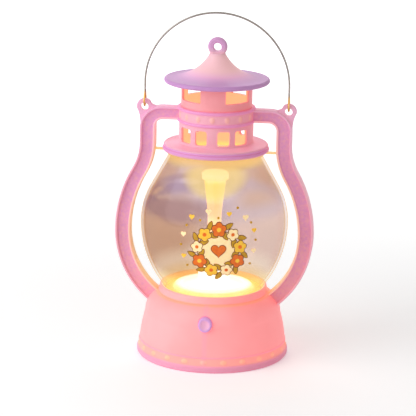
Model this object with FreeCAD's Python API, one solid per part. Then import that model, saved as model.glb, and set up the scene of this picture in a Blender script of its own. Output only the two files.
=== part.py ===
import FreeCAD, Part
import math
import os

# A small battery lantern in the shape of a paraffin lamp, in millimetres.
# Origin: centre of the underside. +Z is up, the button faces -Y, the two arms stand at -X and +X.

Vector = FreeCAD.Vector

# Fits
fit = 0.1                     # gap round parts that plug into one another
slide_gap = 0.15              # gap round the push button
thread_gap = 0.05             # gap between a screw and its pilot hole
screw_clearance = 0.3         # gap round a screw where it passes a cover
small_screw_clearance = 0.2   # the same at the board and the battery door
door_gap = 0.15               # gap round the battery door
tab_gap = 0.2                 # play between the button's tabs and the base's inner wall
switch_gap = 0.3              # gap left in front of the switch when the button is pressed
lamp_gap = 0.5                # gap between the lamp and the light guide
overrun = 1.0                 # how far a cutter passes the surface that it cuts

# Base shell
base_wall = 1.8
base_rim_r = 29.45            # bottom rim, the widest part of the base
base_rim_height = 2.8
base_rim_bevel = 0.5          # at the ground
base_rim_drop = 0.5           # bevel at the rim's top
bead_band_inset = 0.4         # foot of the band above the rim, measured in from the rim
bead_band_top_inset = 0.95
bead_band_top = 5.5
base_bead_count = 24
base_bead_size = (2.8, 2.0)   # width and height
bead_proud = 0.35             # how far a bead stands out of its wall
bead_sink = 0.6               # how far its body goes into the wall
bead_top_share = 0.6          # a bead's flat top, as a share of its foot
bead_sides = 8
base_line_proud = 0.15        # thin raised line above the band
base_line_z = 5.85
wall_foot_inset = 1.1         # foot of the sloping wall, measured in from the rim
wall_foot_z = 6.3
wall_top_inset = 3.05         # sloping wall, where the shoulder starts
wall_bulge = 0.3              # how far the sloping wall swells out between the two
shoulder_round = 9.1
shoulder_drop = 7.9           # start of the shoulder below the top of the deck
shoulder_steps = 4
neck_ring_height = 3.0
neck_ring_flare = 0.4         # how much wider the neck ring is at its foot than at its top
neck_ring_wall = 1.1          # thickness of the neck ring at its top
neck_ring_bevel = 0.7
deck_window_r = 12.0          # hole in the deck that the light comes through
deck_corner_inset = 7.25      # inner corner between wall and deck, measured in from the rim
rim_bore_inset = 2.95         # bore that takes the bottom cover, measured in from the rim
rim_bore_height = 12.0

# Globe
globe_wall = 1.0
globe_r = 28.45               # widest radius
globe_belly_height = 28.2     # widest place, above the globe's seat
globe_height = 56.5           # seat on the base to seat of the flange
globe_lower_round = 40.0      # profile radius below the belly
globe_upper_round = 27.4      # profile radius above the belly
globe_steps = 3               # straight steps in each of the two
globe_neck_r = 17.6
globe_collar_r = 18.9
globe_collar_height = 1.4
tongue_width = 1.6            # thin tongues that key the globe to the arms
tongue_height = 0.75
tongue_bite = 0.6             # how far a tongue goes into an arm

# Lower vent: collar with small windows on a disc flange
vent_wall = 1.2
flange_r = 20.1
flange_height = 2.8
flange_step = 0.45            # the upper ridge of the rim is this much smaller
flange_groove = 0.75          # depth of the bevels that form the two ridges
flange_low_crest = 0.8        # heights of the two ridges and of the groove between them
flange_groove_height = 1.6
flange_high_crest = 2.2
flange_top_bevel = 0.5
flange_slope = 0.6            # rise of the flange from its rim to the collar
flange_plug_height = 1.2      # plug under the flange, inside the globe's neck
lower_vent_r = 14.0
lower_vent_height = 10.9      # flange underside to band
small_window_bottom = 4.3     # above the flange underside
small_window_height = 5.6
small_window_bevel = 0.7
narrow_window_at = 17.9       # degrees from front or back to the window's middle
narrow_window_width = 4.6
wide_window_at = 49.0
wide_window_width = 6.1

# Band and arms of the side frame
band_r = 14.9
band_height = 6.0
ring_bead_proud = 0.6         # the two ring beads round the band
ring_bead_height = 1.3
band_bead_count = 16
band_bead_size = (2.2, 2.8)
arm_depth = 5.5               # front to back
arm_width = 5.9
arm_lip = 0.75                # width of the raised lip round the channel
channel_depth = 0.85
arm_post_x = 29.2             # outer face of the straight upright part
arm_belly_x = 38.5            # outer edge at its widest
arm_belly_z = 48.0
arm_lower_round = 36.3        # outer edge below the belly
arm_upper_round = 50.0        # outer edge above the belly
arm_hollow_round = 20.0       # outer edge where it bends back to the upright part
arm_corner_round = 8.5        # outer top corner
arm_corner_inner = 3.0        # inner top corner
arm_top_drop = 0.8            # top of the arms below the top of the band
arm_top_height = 4.9          # height of the level part
foot_angle = -53.0            # degrees, where the lower curve ends inside the base
foot_gap_angle = 0.3          # degrees, room left under the foot
channel_end_angle = -49.6     # degrees, where the channel ends at the base's shoulder

# Ears and bail
ear_x = 27.65
ear_r = 3.1
ear_hole_r = 1.5
ear_thickness = 2.1
ear_drop = 0.5                # hole centre below the top of the arm
ear_low_angle = -10.0         # degrees, where the round end starts at the arm's outer corner
ear_high_angle = 130.0        # degrees, where it ends above the arm
ear_valley = (1.1, 0.5)       # hollow between ear and arm: distance inwards, height above the arm
ear_root_reach = 3.2          # where the hollow meets the arm, inwards from the round end
ear_root_depth = 1.2          # how far the ear's plate goes into the arm's inner corner
bail_wire_r = 0.375
bail_loop_r = 2.03            # centre line of the eye round the ear's rim
bail_loop_steps = 7
bail_strand_height = 5.5      # where the two strands of the eye would meet
bail_leg_height = 7.05        # straight leg above the ear's rim
bail_arch_steps = 14
bail_tail_gap = 0.45          # clear gap between the wire's end and the leg

# Upper vent: collar with large windows
upper_vent_r = 13.5
upper_vent_height = 9.1       # visible height, band to roof
roof_socket_depth = 0.9       # part inside the roof
large_window_bottom = 2.6     # above the band
large_window_top = 0.35       # rim left above the windows, below the roof
large_window_angle = 49.0     # degrees
large_window_at = 44.5        # degrees from front or back to the window's middle

# Roof cap
roof_r = 20.2
brim_thickness = 1.2
brim_bevel = 0.5
roof_steps = 4                # straight steps of the concave slope
roof_tip_r = 2.9              # radius of the tip, under the hanging ring
roof_tip_height = 11.3        # brim underside to tip
roof_hollow_round = 17.6      # profile radius of the concave slope
roof_hollow_steps = ((11.6, 2.2), (6.5, 5.0))    # radius and height of the hollow below, in two steps
hang_ring_r = 3.55
hang_hole_r = 1.5
hang_ring_thickness = 2.4
hang_ring_rise = 2.25         # ring centre above the tip

# Push button and its switch
deck_above_button = 6.0       # top of the deck above the middle of the button
button_width = 5.3
button_height = 5.6
button_proud = 1.3            # front of the button outside the wall
button_tilt = 12.0            # degrees, the face leans back as the wall does
button_bevel = 0.5
button_dish_r = 1.9
button_dish_floor_r = 0.9
button_dish_depth = 0.38
button_travel = 1.0
button_tab_width = 8.6
button_tab_height = 4.0
button_tab_thickness = 0.8
button_stub_r = 1.3
switch_width = 4.6
switch_depth = 3.6
plunger_r = 1.65
plunger_inside = 1.4          # length of plunger inside the switch at rest
plunger_spare = 0.4           # room left behind the pressed plunger

# Circuit board
board_gap = 0.36              # gap between the cells' box and the board
board_half_x = 13.5
board_back_y = 13.5
board_thickness = 1.0
board_tongue_width = 10.0
board_post_r = 1.8
board_post_at = 15.5          # distance of the posts from the middle
board_screw_r = 0.6
board_screw_head_r = 1.5
board_screw_head_height = 0.7
board_screw_spare = 1.0       # solid left above the screw's tip
led_r = 2.5
led_flange_r = 2.9
led_flange_height = 1.0
led_height = 8.0
led_bevel = 1.2
resistor_size = (3.2, 1.6, 0.6)
resistor_at = 8.0             # distance of the resistor from the middle

# Button cells and their box
cell_r = 5.8
cell_height = 5.4
cell_count = 3
cell_gap = 0.12
holder_wall = 1.2
holder_roof = 0.6
contact_thickness = 0.3
contact_width = 8.0
spring_room = 2.5             # room for the leaf contact
leaf_nose = 0.5               # half height of the leaf's flat nose
leaf_heel = (0.8, 1.0)        # lower end of the leaf: distance from the wall, height
leaf_end = (0.25, 0.2)        # slanted end of the leaf
leaf_fold = 0.42              # thickness at the leaf's upper fold
tab_reach = 1.2               # solder tab outside the box
tab_width = 3.0
lead_r = 0.5
lead_bend = 1.2
lead_straight = 0.7

# Bottom cover, door and screws
cover_recess = 1.0            # cover underside above the ground
cover_thickness = 1.4
door_thickness = 0.8
door_margin = 2.0             # door beyond the cell opening on three sides
door_tongue_length = 1.5
door_tongue_width = 6.0
door_tongue_height = 0.5
door_rib_inset = 0.5
door_rib_width = 3.0
door_screw_gap = 3.4          # screw centre beyond the cell opening
screw_r = 0.8
screw_head_r = 1.8
screw_head_height = 0.85
screw_slot_width = 0.6
screw_slot_depth = 0.4
screw_slot_share = 0.6        # half length of the slot, as a share of the head's radius
door_screw_length = 5.0
cover_screw_length = 8.0
cover_screw_inset = 4.2       # screws, measured in from the bore that takes the cover
cover_boss_r = 2.2
cover_boss_drop = 3.5         # the bosses run up into the wall, and end this much below the deck's top
door_boss_r = 2.0
cover_screw_angles = (90.0, 210.0, 330.0)
board_screw_angles = (45.0, 225.0)

# Diffuser plate and light guide
plate_thickness = 1.4         # outer zone
plate_step_r = 15.0
plate_step = 1.4
plate_step_slope = 0.4
guide_plug_r = 5.2            # part that goes through the plate
guide_foot_r = 6.0
guide_foot_height = 6.5       # top of the wide foot above the plate
guide_waist_r = 2.65
guide_waist_height = 25.0
guide_bend_out = 0.9          # halfway from foot to waist, the radius beyond the waist's
guide_head_r = 4.1
guide_head_height = 40.0
guide_cap_r = 5.2
guide_height = 44.9
guide_cap_height = 3.0
guide_cap_bevel = 1.0
guide_cap_shoulder = 1.5      # width of the same bevel

# The stack of cells, board, button and deck
cover_top = cover_recess + cover_thickness
cell_z = cover_top + cell_gap + cell_r
tab_z = cell_z + cell_r / 2
room_top = cell_z + cell_r + cell_gap
holder_top = room_top + holder_roof
board_under = holder_top + board_gap
board_top = board_under + board_thickness
button_z = board_top + switch_width / 2
base_height = button_z + deck_above_button

# Heights that follow from the sizes above
shoulder_z = base_height - shoulder_drop
deck_underside = base_height - base_wall
neck_ring_top = base_height + neck_ring_height
belly_z = base_height + globe_belly_height
flange_z = base_height + globe_height
band_z = flange_z + lower_vent_height
band_top = band_z + band_height
roof_z = band_top + upper_vent_height
tip_z = roof_z + roof_tip_height
hang_z = tip_z + hang_ring_rise
arm_top = band_top - arm_top_drop
arm_under = arm_top - arm_top_height
ear_z = arm_top - ear_drop
bail_z = ear_z + (ear_hole_r + ear_r) / 2
bail_lean = math.asin(bail_loop_r / bail_strand_height)

# Radii that follow from the sizes above
wall_foot_r = base_rim_r - wall_foot_inset
wall_top_r = base_rim_r - wall_top_inset
deck_corner_r = base_rim_r - deck_corner_inset
rim_bore_r = base_rim_r - rim_bore_inset
cover_screw_at = rim_bore_r - cover_screw_inset
shoulder_centre = (wall_top_r - shoulder_round, shoulder_z)
globe_foot_reach = math.sqrt(globe_lower_round ** 2 - (belly_z - neck_ring_top) ** 2)
globe_foot_r = globe_r - globe_lower_round + globe_foot_reach
neck_ring_r = globe_foot_r + fit
neck_ring_top_r = neck_ring_r + neck_ring_wall
neck_ring_foot_r = neck_ring_top_r + neck_ring_flare
band_bore_r = upper_vent_r + fit
upper_bore_r = upper_vent_r - vent_wall

# The button's row, from the wall inwards (all along Y)
inner_slope = (rim_bore_r - deck_corner_r) / (deck_underside - rim_bore_height)
wall_at_button = shoulder_centre[0] + math.sqrt(shoulder_round ** 2 - (button_z - shoulder_z) ** 2)
button_front = wall_at_button + button_proud
tab_inside_r = deck_corner_r + (deck_underside - button_z - button_tab_height / 2) * inner_slope
tab_front = math.sqrt(tab_inside_r ** 2 - (button_tab_width / 2) ** 2) - tab_gap
tab_back = tab_front - button_tab_thickness
stub_end = tab_back - fit
switch_front = stub_end - button_travel - switch_gap

# The cells' row, along X
row_length = cell_count * cell_height
room_length = contact_thickness + row_length + spring_room
room_x = room_length / 2
room_y = cell_r + cell_gap
holder_x = room_x + holder_wall
holder_y = room_y + holder_wall
door_screw_x = room_x + door_screw_gap


def flat_face(start, *steps):
    """Closed face in the XZ plane. A step is an end point, or (through point, end point) for an arc."""
    edges = []
    here = start
    for step in steps + (start,):
        through, end = step if isinstance(step[0], tuple) else (None, step)
        if math.dist(here, end) < 1e-7:
            continue
        a = Vector(here[0], 0, here[1])
        b = Vector(end[0], 0, end[1])
        if through:
            edges.append(Part.Arc(a, Vector(through[0], 0, through[1]), b).toShape())
        else:
            edges.append(Part.makeLine(a, b))
        here = end
    return Part.Face(Part.Wire(edges))


def on_circle(centre, radius, degrees):
    """Point of a circle in the XZ plane."""
    turn = math.radians(degrees)
    return (centre[0] + radius * math.cos(turn), centre[1] + radius * math.sin(turn))


def arc_step(centre, radius, start, end):
    """Arc for flat_face from one angle to another, in degrees."""
    return (on_circle(centre, radius, (start + end) / 2), on_circle(centre, radius, end))


def steps_on(centre, radius, start, end, count):
    """Points on an arc that divide it into equal straight steps."""
    return [on_circle(centre, radius, start + (end - start) * index / count) for index in range(count + 1)]


def turned(face, degrees=360.0):
    """Body turned about the vertical axis."""
    return face.revolve(Vector(0, 0, 0), Vector(0, 0, 1), degrees)


def slab(face, depth):
    """Plate of the given depth, centred on the XZ plane."""
    body = face.extrude(Vector(0, depth, 0))
    body.translate(Vector(0, -depth / 2, 0))
    return body


def block(x, y, z):
    """Box from three (low, high) pairs."""
    return Part.makeBox(x[1] - x[0], y[1] - y[0], z[1] - z[0], Vector(x[0], y[0], z[0]))


def rod(radius, low, high, x=0.0, y=0.0):
    """Upright cylinder between two heights."""
    return Part.makeCylinder(radius, high - low, Vector(x, y, low))


def rod_y(radius, low, high, x, z):
    """Cylinder along Y."""
    return Part.makeCylinder(radius, high - low, Vector(x, low, z), Vector(0, 1, 0))


def around(body, degrees):
    """Copy of a body turned about the vertical axis."""
    copy = body.copy()
    copy.rotate(Vector(0, 0, 0), Vector(0, 0, 1), degrees)
    return copy


def mirrored_x(body):
    """Copy of a body on the other side."""
    return body.mirror(Vector(0, 0, 0), Vector(1, 0, 0))


def fused(bodies):
    """One body from several, with leftover seams removed."""
    return bodies[0].multiFuse(bodies[1:]).removeSplitter()


def bead_ring(size, scale, distance, z):
    """Eight-sided outline of a bead in front of the axis."""
    points = []
    for index in range(bead_sides + 1):
        turn = 2 * math.pi * (index + 0.5) / bead_sides
        x = size[0] / 2 * scale * math.cos(turn)
        points.append(Vector(x, -distance, z + size[1] / 2 * scale * math.sin(turn)))
    return Part.makePolygon(points)


def bead_row(count, size, wall_r, z):
    """Row of low beads with sloping sides round a wall."""
    foot = bead_ring(size, 1.0, wall_r - bead_sink, z)
    top = bead_ring(size, bead_top_share, wall_r + bead_proud, z)
    bead = Part.makeLoft([foot, top], True, True)
    return [around(bead, 360.0 * index / count) for index in range(count)]


def base_outline():
    """Outer points of the base from the ground to the foot of the neck ring."""
    band_r = base_rim_r - bead_band_inset
    band_top_r = base_rim_r - bead_band_top_inset
    rim = [(base_rim_r - base_rim_bevel, 0), (base_rim_r, base_rim_bevel),
           (base_rim_r, base_rim_height - base_rim_drop), (band_r, base_rim_height)]
    line = (band_top_r + base_line_proud, base_line_z)
    band = [(band_top_r, bead_band_top), line, (wall_foot_r, wall_foot_z)]
    middle = ((wall_foot_r + wall_top_r) / 2 + wall_bulge, (wall_foot_z + shoulder_z) / 2)
    to_ring = math.degrees(math.acos((neck_ring_foot_r - shoulder_centre[0]) / shoulder_round))
    return rim + band + [middle] + steps_on(shoulder_centre, shoulder_round, 0, to_ring, shoulder_steps)


def base_shell():
    """Outer housing: bottom rim, band, raised line, sloping wall, round shoulder, neck ring and deck."""
    ring = [(neck_ring_top_r, neck_ring_top - neck_ring_bevel),
            (neck_ring_top_r - neck_ring_bevel / 2, neck_ring_top),
            (neck_ring_r, neck_ring_top), (neck_ring_r, base_height)]
    inside = [(deck_window_r, base_height), (deck_window_r, deck_underside), (deck_corner_r, deck_underside),
              (rim_bore_r, rim_bore_height), (rim_bore_r, 0)]
    shell = turned(flat_face(*base_outline(), *ring, *inside))
    bosses = []
    pilots = []
    for angle in cover_screw_angles:
        boss = rod(cover_boss_r, cover_top, base_height - cover_boss_drop, cover_screw_at)
        pilot = rod(screw_r + thread_gap, cover_top, cover_top + cover_screw_length, cover_screw_at)
        bosses.append(around(boss, angle))
        pilots.append(around(pilot, angle))
    for angle in board_screw_angles:
        post = rod(board_post_r, board_top, base_height - base_wall / 2, board_post_at)
        pilot = rod(board_screw_r + thread_gap, board_top, deck_underside, board_post_at)
        bosses.append(around(post, angle))
        pilots.append(around(pilot, angle))
    band_middle_r = base_rim_r - (bead_band_inset + bead_band_top_inset) / 2
    beads = bead_row(base_bead_count, base_bead_size, band_middle_r, (base_rim_height + bead_band_top) / 2)
    shell = fused([shell] + bosses + beads)
    hole = button_prism(slide_gap, tab_front - overrun, button_front)
    pocket = foot_pocket()
    return shell.cut(pilots + [hole, pocket, mirrored_x(pocket)])


def foot_pocket():
    """Slot that an arm's foot needs in the base."""
    grown = slab(arm_face(-fit, foot_angle - foot_gap_angle, arm_post_x), arm_depth + 2 * fit)
    return grown.common(block((0, arm_belly_x), (-arm_depth, arm_depth), (0, base_height + overrun)))


def arm_face(inset, end_angle, start_x):
    """Outline of the right arm moved inwards by inset, from start_x at the band to its lower end."""
    outer_x = arm_post_x - inset
    inner_x = arm_post_x - arm_width + inset
    low_centre = (arm_belly_x - arm_lower_round, arm_belly_z)
    high_centre = (arm_belly_x - arm_upper_round, arm_belly_z)
    hollow_x = arm_post_x + arm_hollow_round
    reach = arm_upper_round + arm_hollow_round
    lean = math.degrees(math.acos((hollow_x - high_centre[0]) / reach))
    hollow_centre = (hollow_x, arm_belly_z + reach * math.sin(math.radians(lean)))
    top_centre = (arm_post_x - arm_corner_round, arm_top - arm_corner_round)
    under_centre = (arm_post_x - arm_width - arm_corner_inner, arm_under - arm_corner_inner)
    start_x = min(start_x, under_centre[0])
    low_outer = arm_lower_round - inset
    low_inner = arm_lower_round - arm_width + inset
    high_outer = arm_upper_round - inset
    high_inner = arm_upper_round - arm_width + inset
    hollow_outer = arm_hollow_round + inset
    hollow_inner = arm_hollow_round + arm_width - inset
    return flat_face((start_x, arm_top - inset), (top_centre[0], arm_top - inset),
                     arc_step(top_centre, arm_corner_round - inset, 90, 0), (outer_x, hollow_centre[1]),
                     arc_step(hollow_centre, hollow_outer, 180, 180 + lean),
                     arc_step(high_centre, high_outer, lean, 0),
                     arc_step(low_centre, low_outer, 0, end_angle),
                     on_circle(low_centre, low_inner, end_angle),
                     arc_step(low_centre, low_inner, end_angle, 0),
                     arc_step(high_centre, high_inner, 0, lean),
                     arc_step(hollow_centre, hollow_inner, 180 + lean, 180),
                     (inner_x, under_centre[1]),
                     arc_step(under_centre, arm_corner_inner + inset, 0, 90),
                     (start_x, arm_under + inset))


def ear():
    """Right ear: a thin plate with a round end that hugs the arm's top corner."""
    centre = (ear_x, ear_z)
    tip = on_circle(centre, ear_r, ear_high_angle)
    side = on_circle(centre, ear_r, ear_low_angle)
    middle = on_circle(centre, ear_r, (ear_low_angle + ear_high_angle) / 2)
    valley = (tip[0] - ear_valley[0], arm_top + ear_valley[1])
    root = (tip[0] - ear_root_reach, arm_top - arm_lip / 2)
    inside = (arm_post_x - arm_width + ear_root_depth, arm_top - arm_top_height + ear_root_depth)
    web_foot = (arm_post_x - fit, arm_top - arm_corner_round)
    plate = slab(flat_face(side, (middle, tip), (valley, root), inside, web_foot), ear_thickness)
    return plate.cut(rod_y(ear_hole_r, -ear_thickness, ear_thickness, ear_x, ear_z))


def side_frame():
    """Band with its ring beads, two arms with channels in both faces, and two ears."""
    crest = band_r + ring_bead_proud
    rise = ring_bead_height / 2
    band = turned(flat_face((band_bore_r, band_z), (band_r, band_z), (crest, band_z + rise),
                            (band_r, band_z + 2 * rise), (band_r, band_top - 2 * rise),
                            (crest, band_top - rise), (band_r, band_top), (band_bore_r, band_top)))
    start_x = band_r - vent_wall
    arm = slab(arm_face(0, foot_angle, start_x), arm_depth)
    channel = slab(arm_face(arm_lip, channel_end_angle, band_r), arm_depth)
    core = slab(arm_face(0, foot_angle, start_x), arm_depth - 2 * channel_depth)
    arm = arm.cut(channel).fuse(core)
    slot_y = tongue_width / 2 + fit
    slot_z = flange_z - globe_collar_height / 2
    slot_half = tongue_height / 2 + fit
    inner_x = arm_post_x - arm_width
    slot = block((inner_x - overrun, inner_x + tongue_bite + fit), (-slot_y, slot_y),
                 (slot_z - slot_half, slot_z + slot_half))
    right = arm.cut(slot).fuse(ear())
    beads = bead_row(band_bead_count, band_bead_size, band_r, (band_z + band_top) / 2)
    frame = fused([band, right, mirrored_x(right)] + beads)
    return frame.cut(rod(band_bore_r, band_z - overrun, band_top + overrun))


def globe_outline(wall):
    """Points of the globe's bulge from its foot to its neck, moved inwards by wall."""
    lower_centre = (globe_r - globe_lower_round, belly_z)
    upper_centre = (globe_r - globe_upper_round, belly_z)
    neck = (globe_neck_r, flange_z - globe_collar_height)
    reach = math.dist(neck, upper_centre)
    to_neck = math.atan2(neck[1] - upper_centre[1], neck[0] - upper_centre[0])
    touch = math.degrees(to_neck - math.acos(globe_upper_round / reach))
    foot = -math.degrees(math.asin((belly_z - neck_ring_top) / globe_lower_round))
    lower = steps_on(lower_centre, globe_lower_round - wall, foot, 0, globe_steps)
    upper = steps_on(upper_centre, globe_upper_round - wall, 0, touch, globe_steps)
    return lower + upper[1:]


def globe():
    """Clear blown shell with a foot in the neck ring, a collar under the flange and two keying tongues."""
    collar_z = flange_z - globe_collar_height
    bulge = globe_outline(0)
    hollow = globe_outline(globe_wall)
    foot_bore = globe_foot_r - globe_wall
    neck_bore = globe_neck_r - globe_wall
    collar = [(globe_neck_r, collar_z), (globe_collar_r, collar_z), (globe_collar_r, flange_z),
              (neck_bore, flange_z), (neck_bore, collar_z - globe_wall)]
    shell = turned(flat_face((foot_bore, base_height), (globe_foot_r, base_height), *bulge, *collar,
                             *hollow[:0:-1], (foot_bore, hollow[0][1])))
    tongue_end = arm_post_x - arm_width + tongue_bite
    middle = flange_z - globe_collar_height / 2
    start = globe_collar_r - globe_wall
    tongue = block((start, tongue_end), (-tongue_width / 2, tongue_width / 2),
                   (middle - tongue_height / 2, middle + tongue_height / 2))
    return fused([shell, tongue, mirrored_x(tongue)])


def window_cutter(width, degrees):
    """Block with bevelled corners that cuts one small window through the collar's wall."""
    half = width / 2
    bevel = small_window_bevel
    low = flange_z + small_window_bottom
    high = low + small_window_height
    inner = half - bevel
    outline = flat_face((-inner, low), (inner, low), (half, low + bevel), (half, high - bevel),
                        (inner, high), (-inner, high), (-half, high - bevel), (-half, low + bevel))
    return around(outline.extrude(Vector(0, -lower_vent_r - overrun, 0)), degrees)


def lower_vent():
    """Collar with eight small windows on a disc flange with a two-ridge rim."""
    top = flange_z + flange_height
    low_crest = flange_z + flange_low_crest
    groove = flange_z + flange_groove_height
    high_crest = flange_z + flange_high_crest
    high_r = flange_r - flange_step
    bore = lower_vent_r - vent_wall
    plug_r = globe_neck_r - globe_wall - fit
    plug_z = flange_z - flange_plug_height
    groove_r = flange_r - flange_groove
    body = turned(flat_face((bore, plug_z), (plug_r, plug_z), (plug_r, flange_z), (groove_r, flange_z),
                            (flange_r, low_crest), (groove_r, groove),
                            (high_r, high_crest), (high_r - flange_top_bevel, top),
                            (lower_vent_r, top + flange_slope), (lower_vent_r, band_z), (bore, band_z)))
    cutters = []
    for middle, width in ((narrow_window_at, narrow_window_width), (wide_window_at, wide_window_width)):
        for angle in (middle, -middle, 180 - middle, 180 + middle):
            cutters.append(window_cutter(width, angle))
    return body.cut(cutters)


def upper_vent():
    """Plain collar with four large windows between its posts, standing inside the band."""
    top = roof_z + roof_socket_depth
    body = turned(flat_face((upper_bore_r, band_z), (upper_vent_r, band_z), (upper_vent_r, top),
                            (upper_bore_r, top)))
    low = band_top + large_window_bottom
    high = roof_z - large_window_top
    near = upper_bore_r - overrun
    far = upper_vent_r + overrun
    sector = turned(flat_face((near, low), (far, low), (far, high), (near, high)), large_window_angle)
    cutters = []
    for middle in (large_window_at, 180 - large_window_at, 180 + large_window_at, -large_window_at):
        cutters.append(around(sector, middle - 90 - large_window_angle / 2))
    return body.cut(cutters)


def roof_cap():
    """Concave cone on a flat brim, hollow below, with the hanging ring on its tip."""
    brim = (roof_r - brim_bevel, roof_z + brim_thickness)
    tip = (roof_tip_r, tip_z)
    chord = math.dist(brim, tip)
    lift = math.sqrt(roof_hollow_round ** 2 - (chord / 2) ** 2)
    across = ((brim[0] - tip[0]) / chord, (brim[1] - tip[1]) / chord)
    centre = ((brim[0] + tip[0]) / 2 - across[1] * lift, (brim[1] + tip[1]) / 2 + across[0] * lift)
    start = math.degrees(math.atan2(brim[1] - centre[1], brim[0] - centre[0]))
    end = math.degrees(math.atan2(tip[1] - centre[1], tip[0] - centre[0])) % 360
    slope = steps_on(centre, roof_hollow_round, start % 360, end, roof_steps)
    socket_r = upper_vent_r + fit
    socket_top = roof_z + roof_socket_depth
    (wide_r, wide_height), (narrow_r, narrow_height) = roof_hollow_steps
    hollow = [(wide_r, socket_top), (wide_r, roof_z + wide_height), (narrow_r, roof_z + wide_height),
              (narrow_r, roof_z + narrow_height), (0, roof_z + narrow_height)]
    cone = turned(flat_face((0, tip_z), *slope[::-1], (roof_r, roof_z + brim_thickness / 2),
                            (roof_r - brim_bevel, roof_z), (socket_r, roof_z),
                            (socket_r, socket_top), *hollow))
    half = hang_ring_thickness / 2
    ring = rod_y(hang_ring_r, -half, half, 0, hang_z)
    return fused([cone, ring]).cut(rod_y(hang_hole_r, -half, half, 0, hang_z))


def button_prism(gap, inner, outer):
    """Oval column along Y, grown by gap, between two distances from the middle."""
    radius = button_width / 2 + gap
    high = button_z + (button_height - button_width) / 2
    low = button_z - (button_height - button_width) / 2
    outline = flat_face((-radius, low), arc_step((0, low), radius, 180, 360), (radius, high),
                        arc_step((0, high), radius, 0, 180))
    outline.translate(Vector(0, -outer - overrun, 0))
    return outline.extrude(Vector(0, outer + overrun - inner, 0))


def push_button():
    """Oval button with a dished, slightly leaning face, side tabs that keep it in, and a stub."""
    front = -button_front
    body = button_prism(0, tab_front, button_front)
    keep = block((-button_width, button_width), (front, 0), (-button_height, button_height))
    keep.rotate(Vector(0, front, 0), Vector(1, 0, 0), -button_tilt)
    keep.translate(Vector(0, 0, button_z))
    body = body.common(keep)
    rim = [edge for edge in body.Edges if edge.BoundBox.YMax < front + button_height / 2]
    body = body.makeChamfer(button_bevel, rim)
    lean = math.radians(button_tilt)
    inwards = Vector(0, math.cos(lean), -math.sin(lean))
    dish_middle = Vector(0, front, button_z)
    dish = Part.makeCone(button_dish_r, button_dish_floor_r, button_dish_depth, dish_middle, inwards)
    half_tab = button_tab_height / 2
    tabs = block((-button_tab_width / 2, button_tab_width / 2), (-tab_front, -tab_back),
                 (button_z - half_tab, button_z + half_tab))
    stub = rod_y(button_stub_r, -tab_back, -stub_end, 0, button_z)
    return fused([body.cut(dish), tabs, stub])


def switch_body():
    """Square switch lying on the board, its plunger's hole facing the front."""
    half = switch_width / 2
    body = block((-half, half), (-switch_front, -switch_front + switch_depth), (board_top, button_z + half))
    depth = plunger_inside + button_travel + plunger_spare
    return body.cut(rod_y(plunger_r + fit, -switch_front - overrun, -switch_front + depth, 0, button_z))


def switch_plunger():
    """Round plunger between the button's stub and the switch."""
    return rod_y(plunger_r, -stub_end, -switch_front + plunger_inside, 0, button_z)


def circuit_board():
    """Board under the diffuser with a tongue that carries the switch."""
    board = block((-board_half_x, board_half_x), (-board_half_x, board_back_y), (board_under, board_top))
    half = board_tongue_width / 2
    tongue = block((-half, half), (-switch_front + fit, 0), (board_under, board_top))
    hole = rod(board_screw_r + small_screw_clearance, board_under, board_top, board_post_at)
    holes = [around(hole, angle) for angle in board_screw_angles]
    return fused([board, tongue]).cut(holes)


def screw(radius, length, head_radius, head_height, top):
    """Pan-head screw pointing up, its head's upper face at the given height, with a cross slot."""
    head = rod(head_radius, top - head_height, top)
    slot_z = (top - head_height, top - head_height + screw_slot_depth)
    reach = head_radius * screw_slot_share
    half = screw_slot_width / 2
    cross = [block((-reach, reach), (-half, half), slot_z), block((-half, half), (-reach, reach), slot_z)]
    return fused([head.cut(cross), rod(radius, top, top + length)])


def board_screws():
    """Two screws that hold the board to its posts."""
    length = deck_underside - board_under - board_screw_spare
    body = screw(board_screw_r, length, board_screw_head_r, board_screw_head_height, board_under)
    body.translate(Vector(board_post_at, 0, 0))
    return Part.makeCompound([around(body, angle) for angle in board_screw_angles])


def cover_screws():
    """Three screws that hold the bottom cover."""
    body = screw(screw_r, cover_screw_length, screw_head_r, screw_head_height, cover_recess)
    body.translate(Vector(cover_screw_at, 0, 0))
    return Part.makeCompound([around(body, angle) for angle in cover_screw_angles])


def door_screw():
    """Screw that holds the battery door."""
    body = screw(screw_r, door_screw_length, screw_head_r, screw_head_height, cover_recess)
    body.translate(Vector(door_screw_x, 0, 0))
    return body


def led():
    """Round lamp with a flange and a bevelled top."""
    flange_top = board_top + led_flange_height
    top = board_top + led_height
    return turned(flat_face((0, board_top), (led_flange_r, board_top), (led_flange_r, flange_top),
                            (led_r, flange_top), (led_r, top - led_bevel),
                            (led_r - led_bevel, top), (0, top)))


def resistor():
    """Small flat resistor on the board."""
    x, y, z = resistor_size
    return block((resistor_at - x / 2, resistor_at + x / 2), (-y / 2, y / 2), (board_top, board_top + z))


def battery_holder():
    """Box over the cells, open at the bottom, with slots for the solder tabs."""
    box = block((-holder_x, holder_x), (-holder_y, holder_y), (cover_top, holder_top))
    room = block((-room_x, room_x), (-room_y, room_y), (cover_top, room_top))
    half = tab_width / 2 + fit
    slots = block((-holder_x, holder_x), (-half, half), (tab_z - fit, tab_z + contact_thickness + fit))
    return box.cut(room).cut(slots)


def button_cells():
    """Row of button cells."""
    start = -room_x + contact_thickness
    along_x = Vector(1, 0, 0)
    places = [Vector(start + index * cell_height, 0, cell_z) for index in range(cell_count)]
    return Part.makeCompound([Part.makeCylinder(cell_r, cell_height, place, along_x) for place in places])


def solder_tab():
    """Tab of the right contact that goes out through the box's end wall."""
    return block((room_x - contact_thickness, holder_x + tab_reach), (-tab_width / 2, tab_width / 2),
                 (tab_z, tab_z + contact_thickness))


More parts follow.
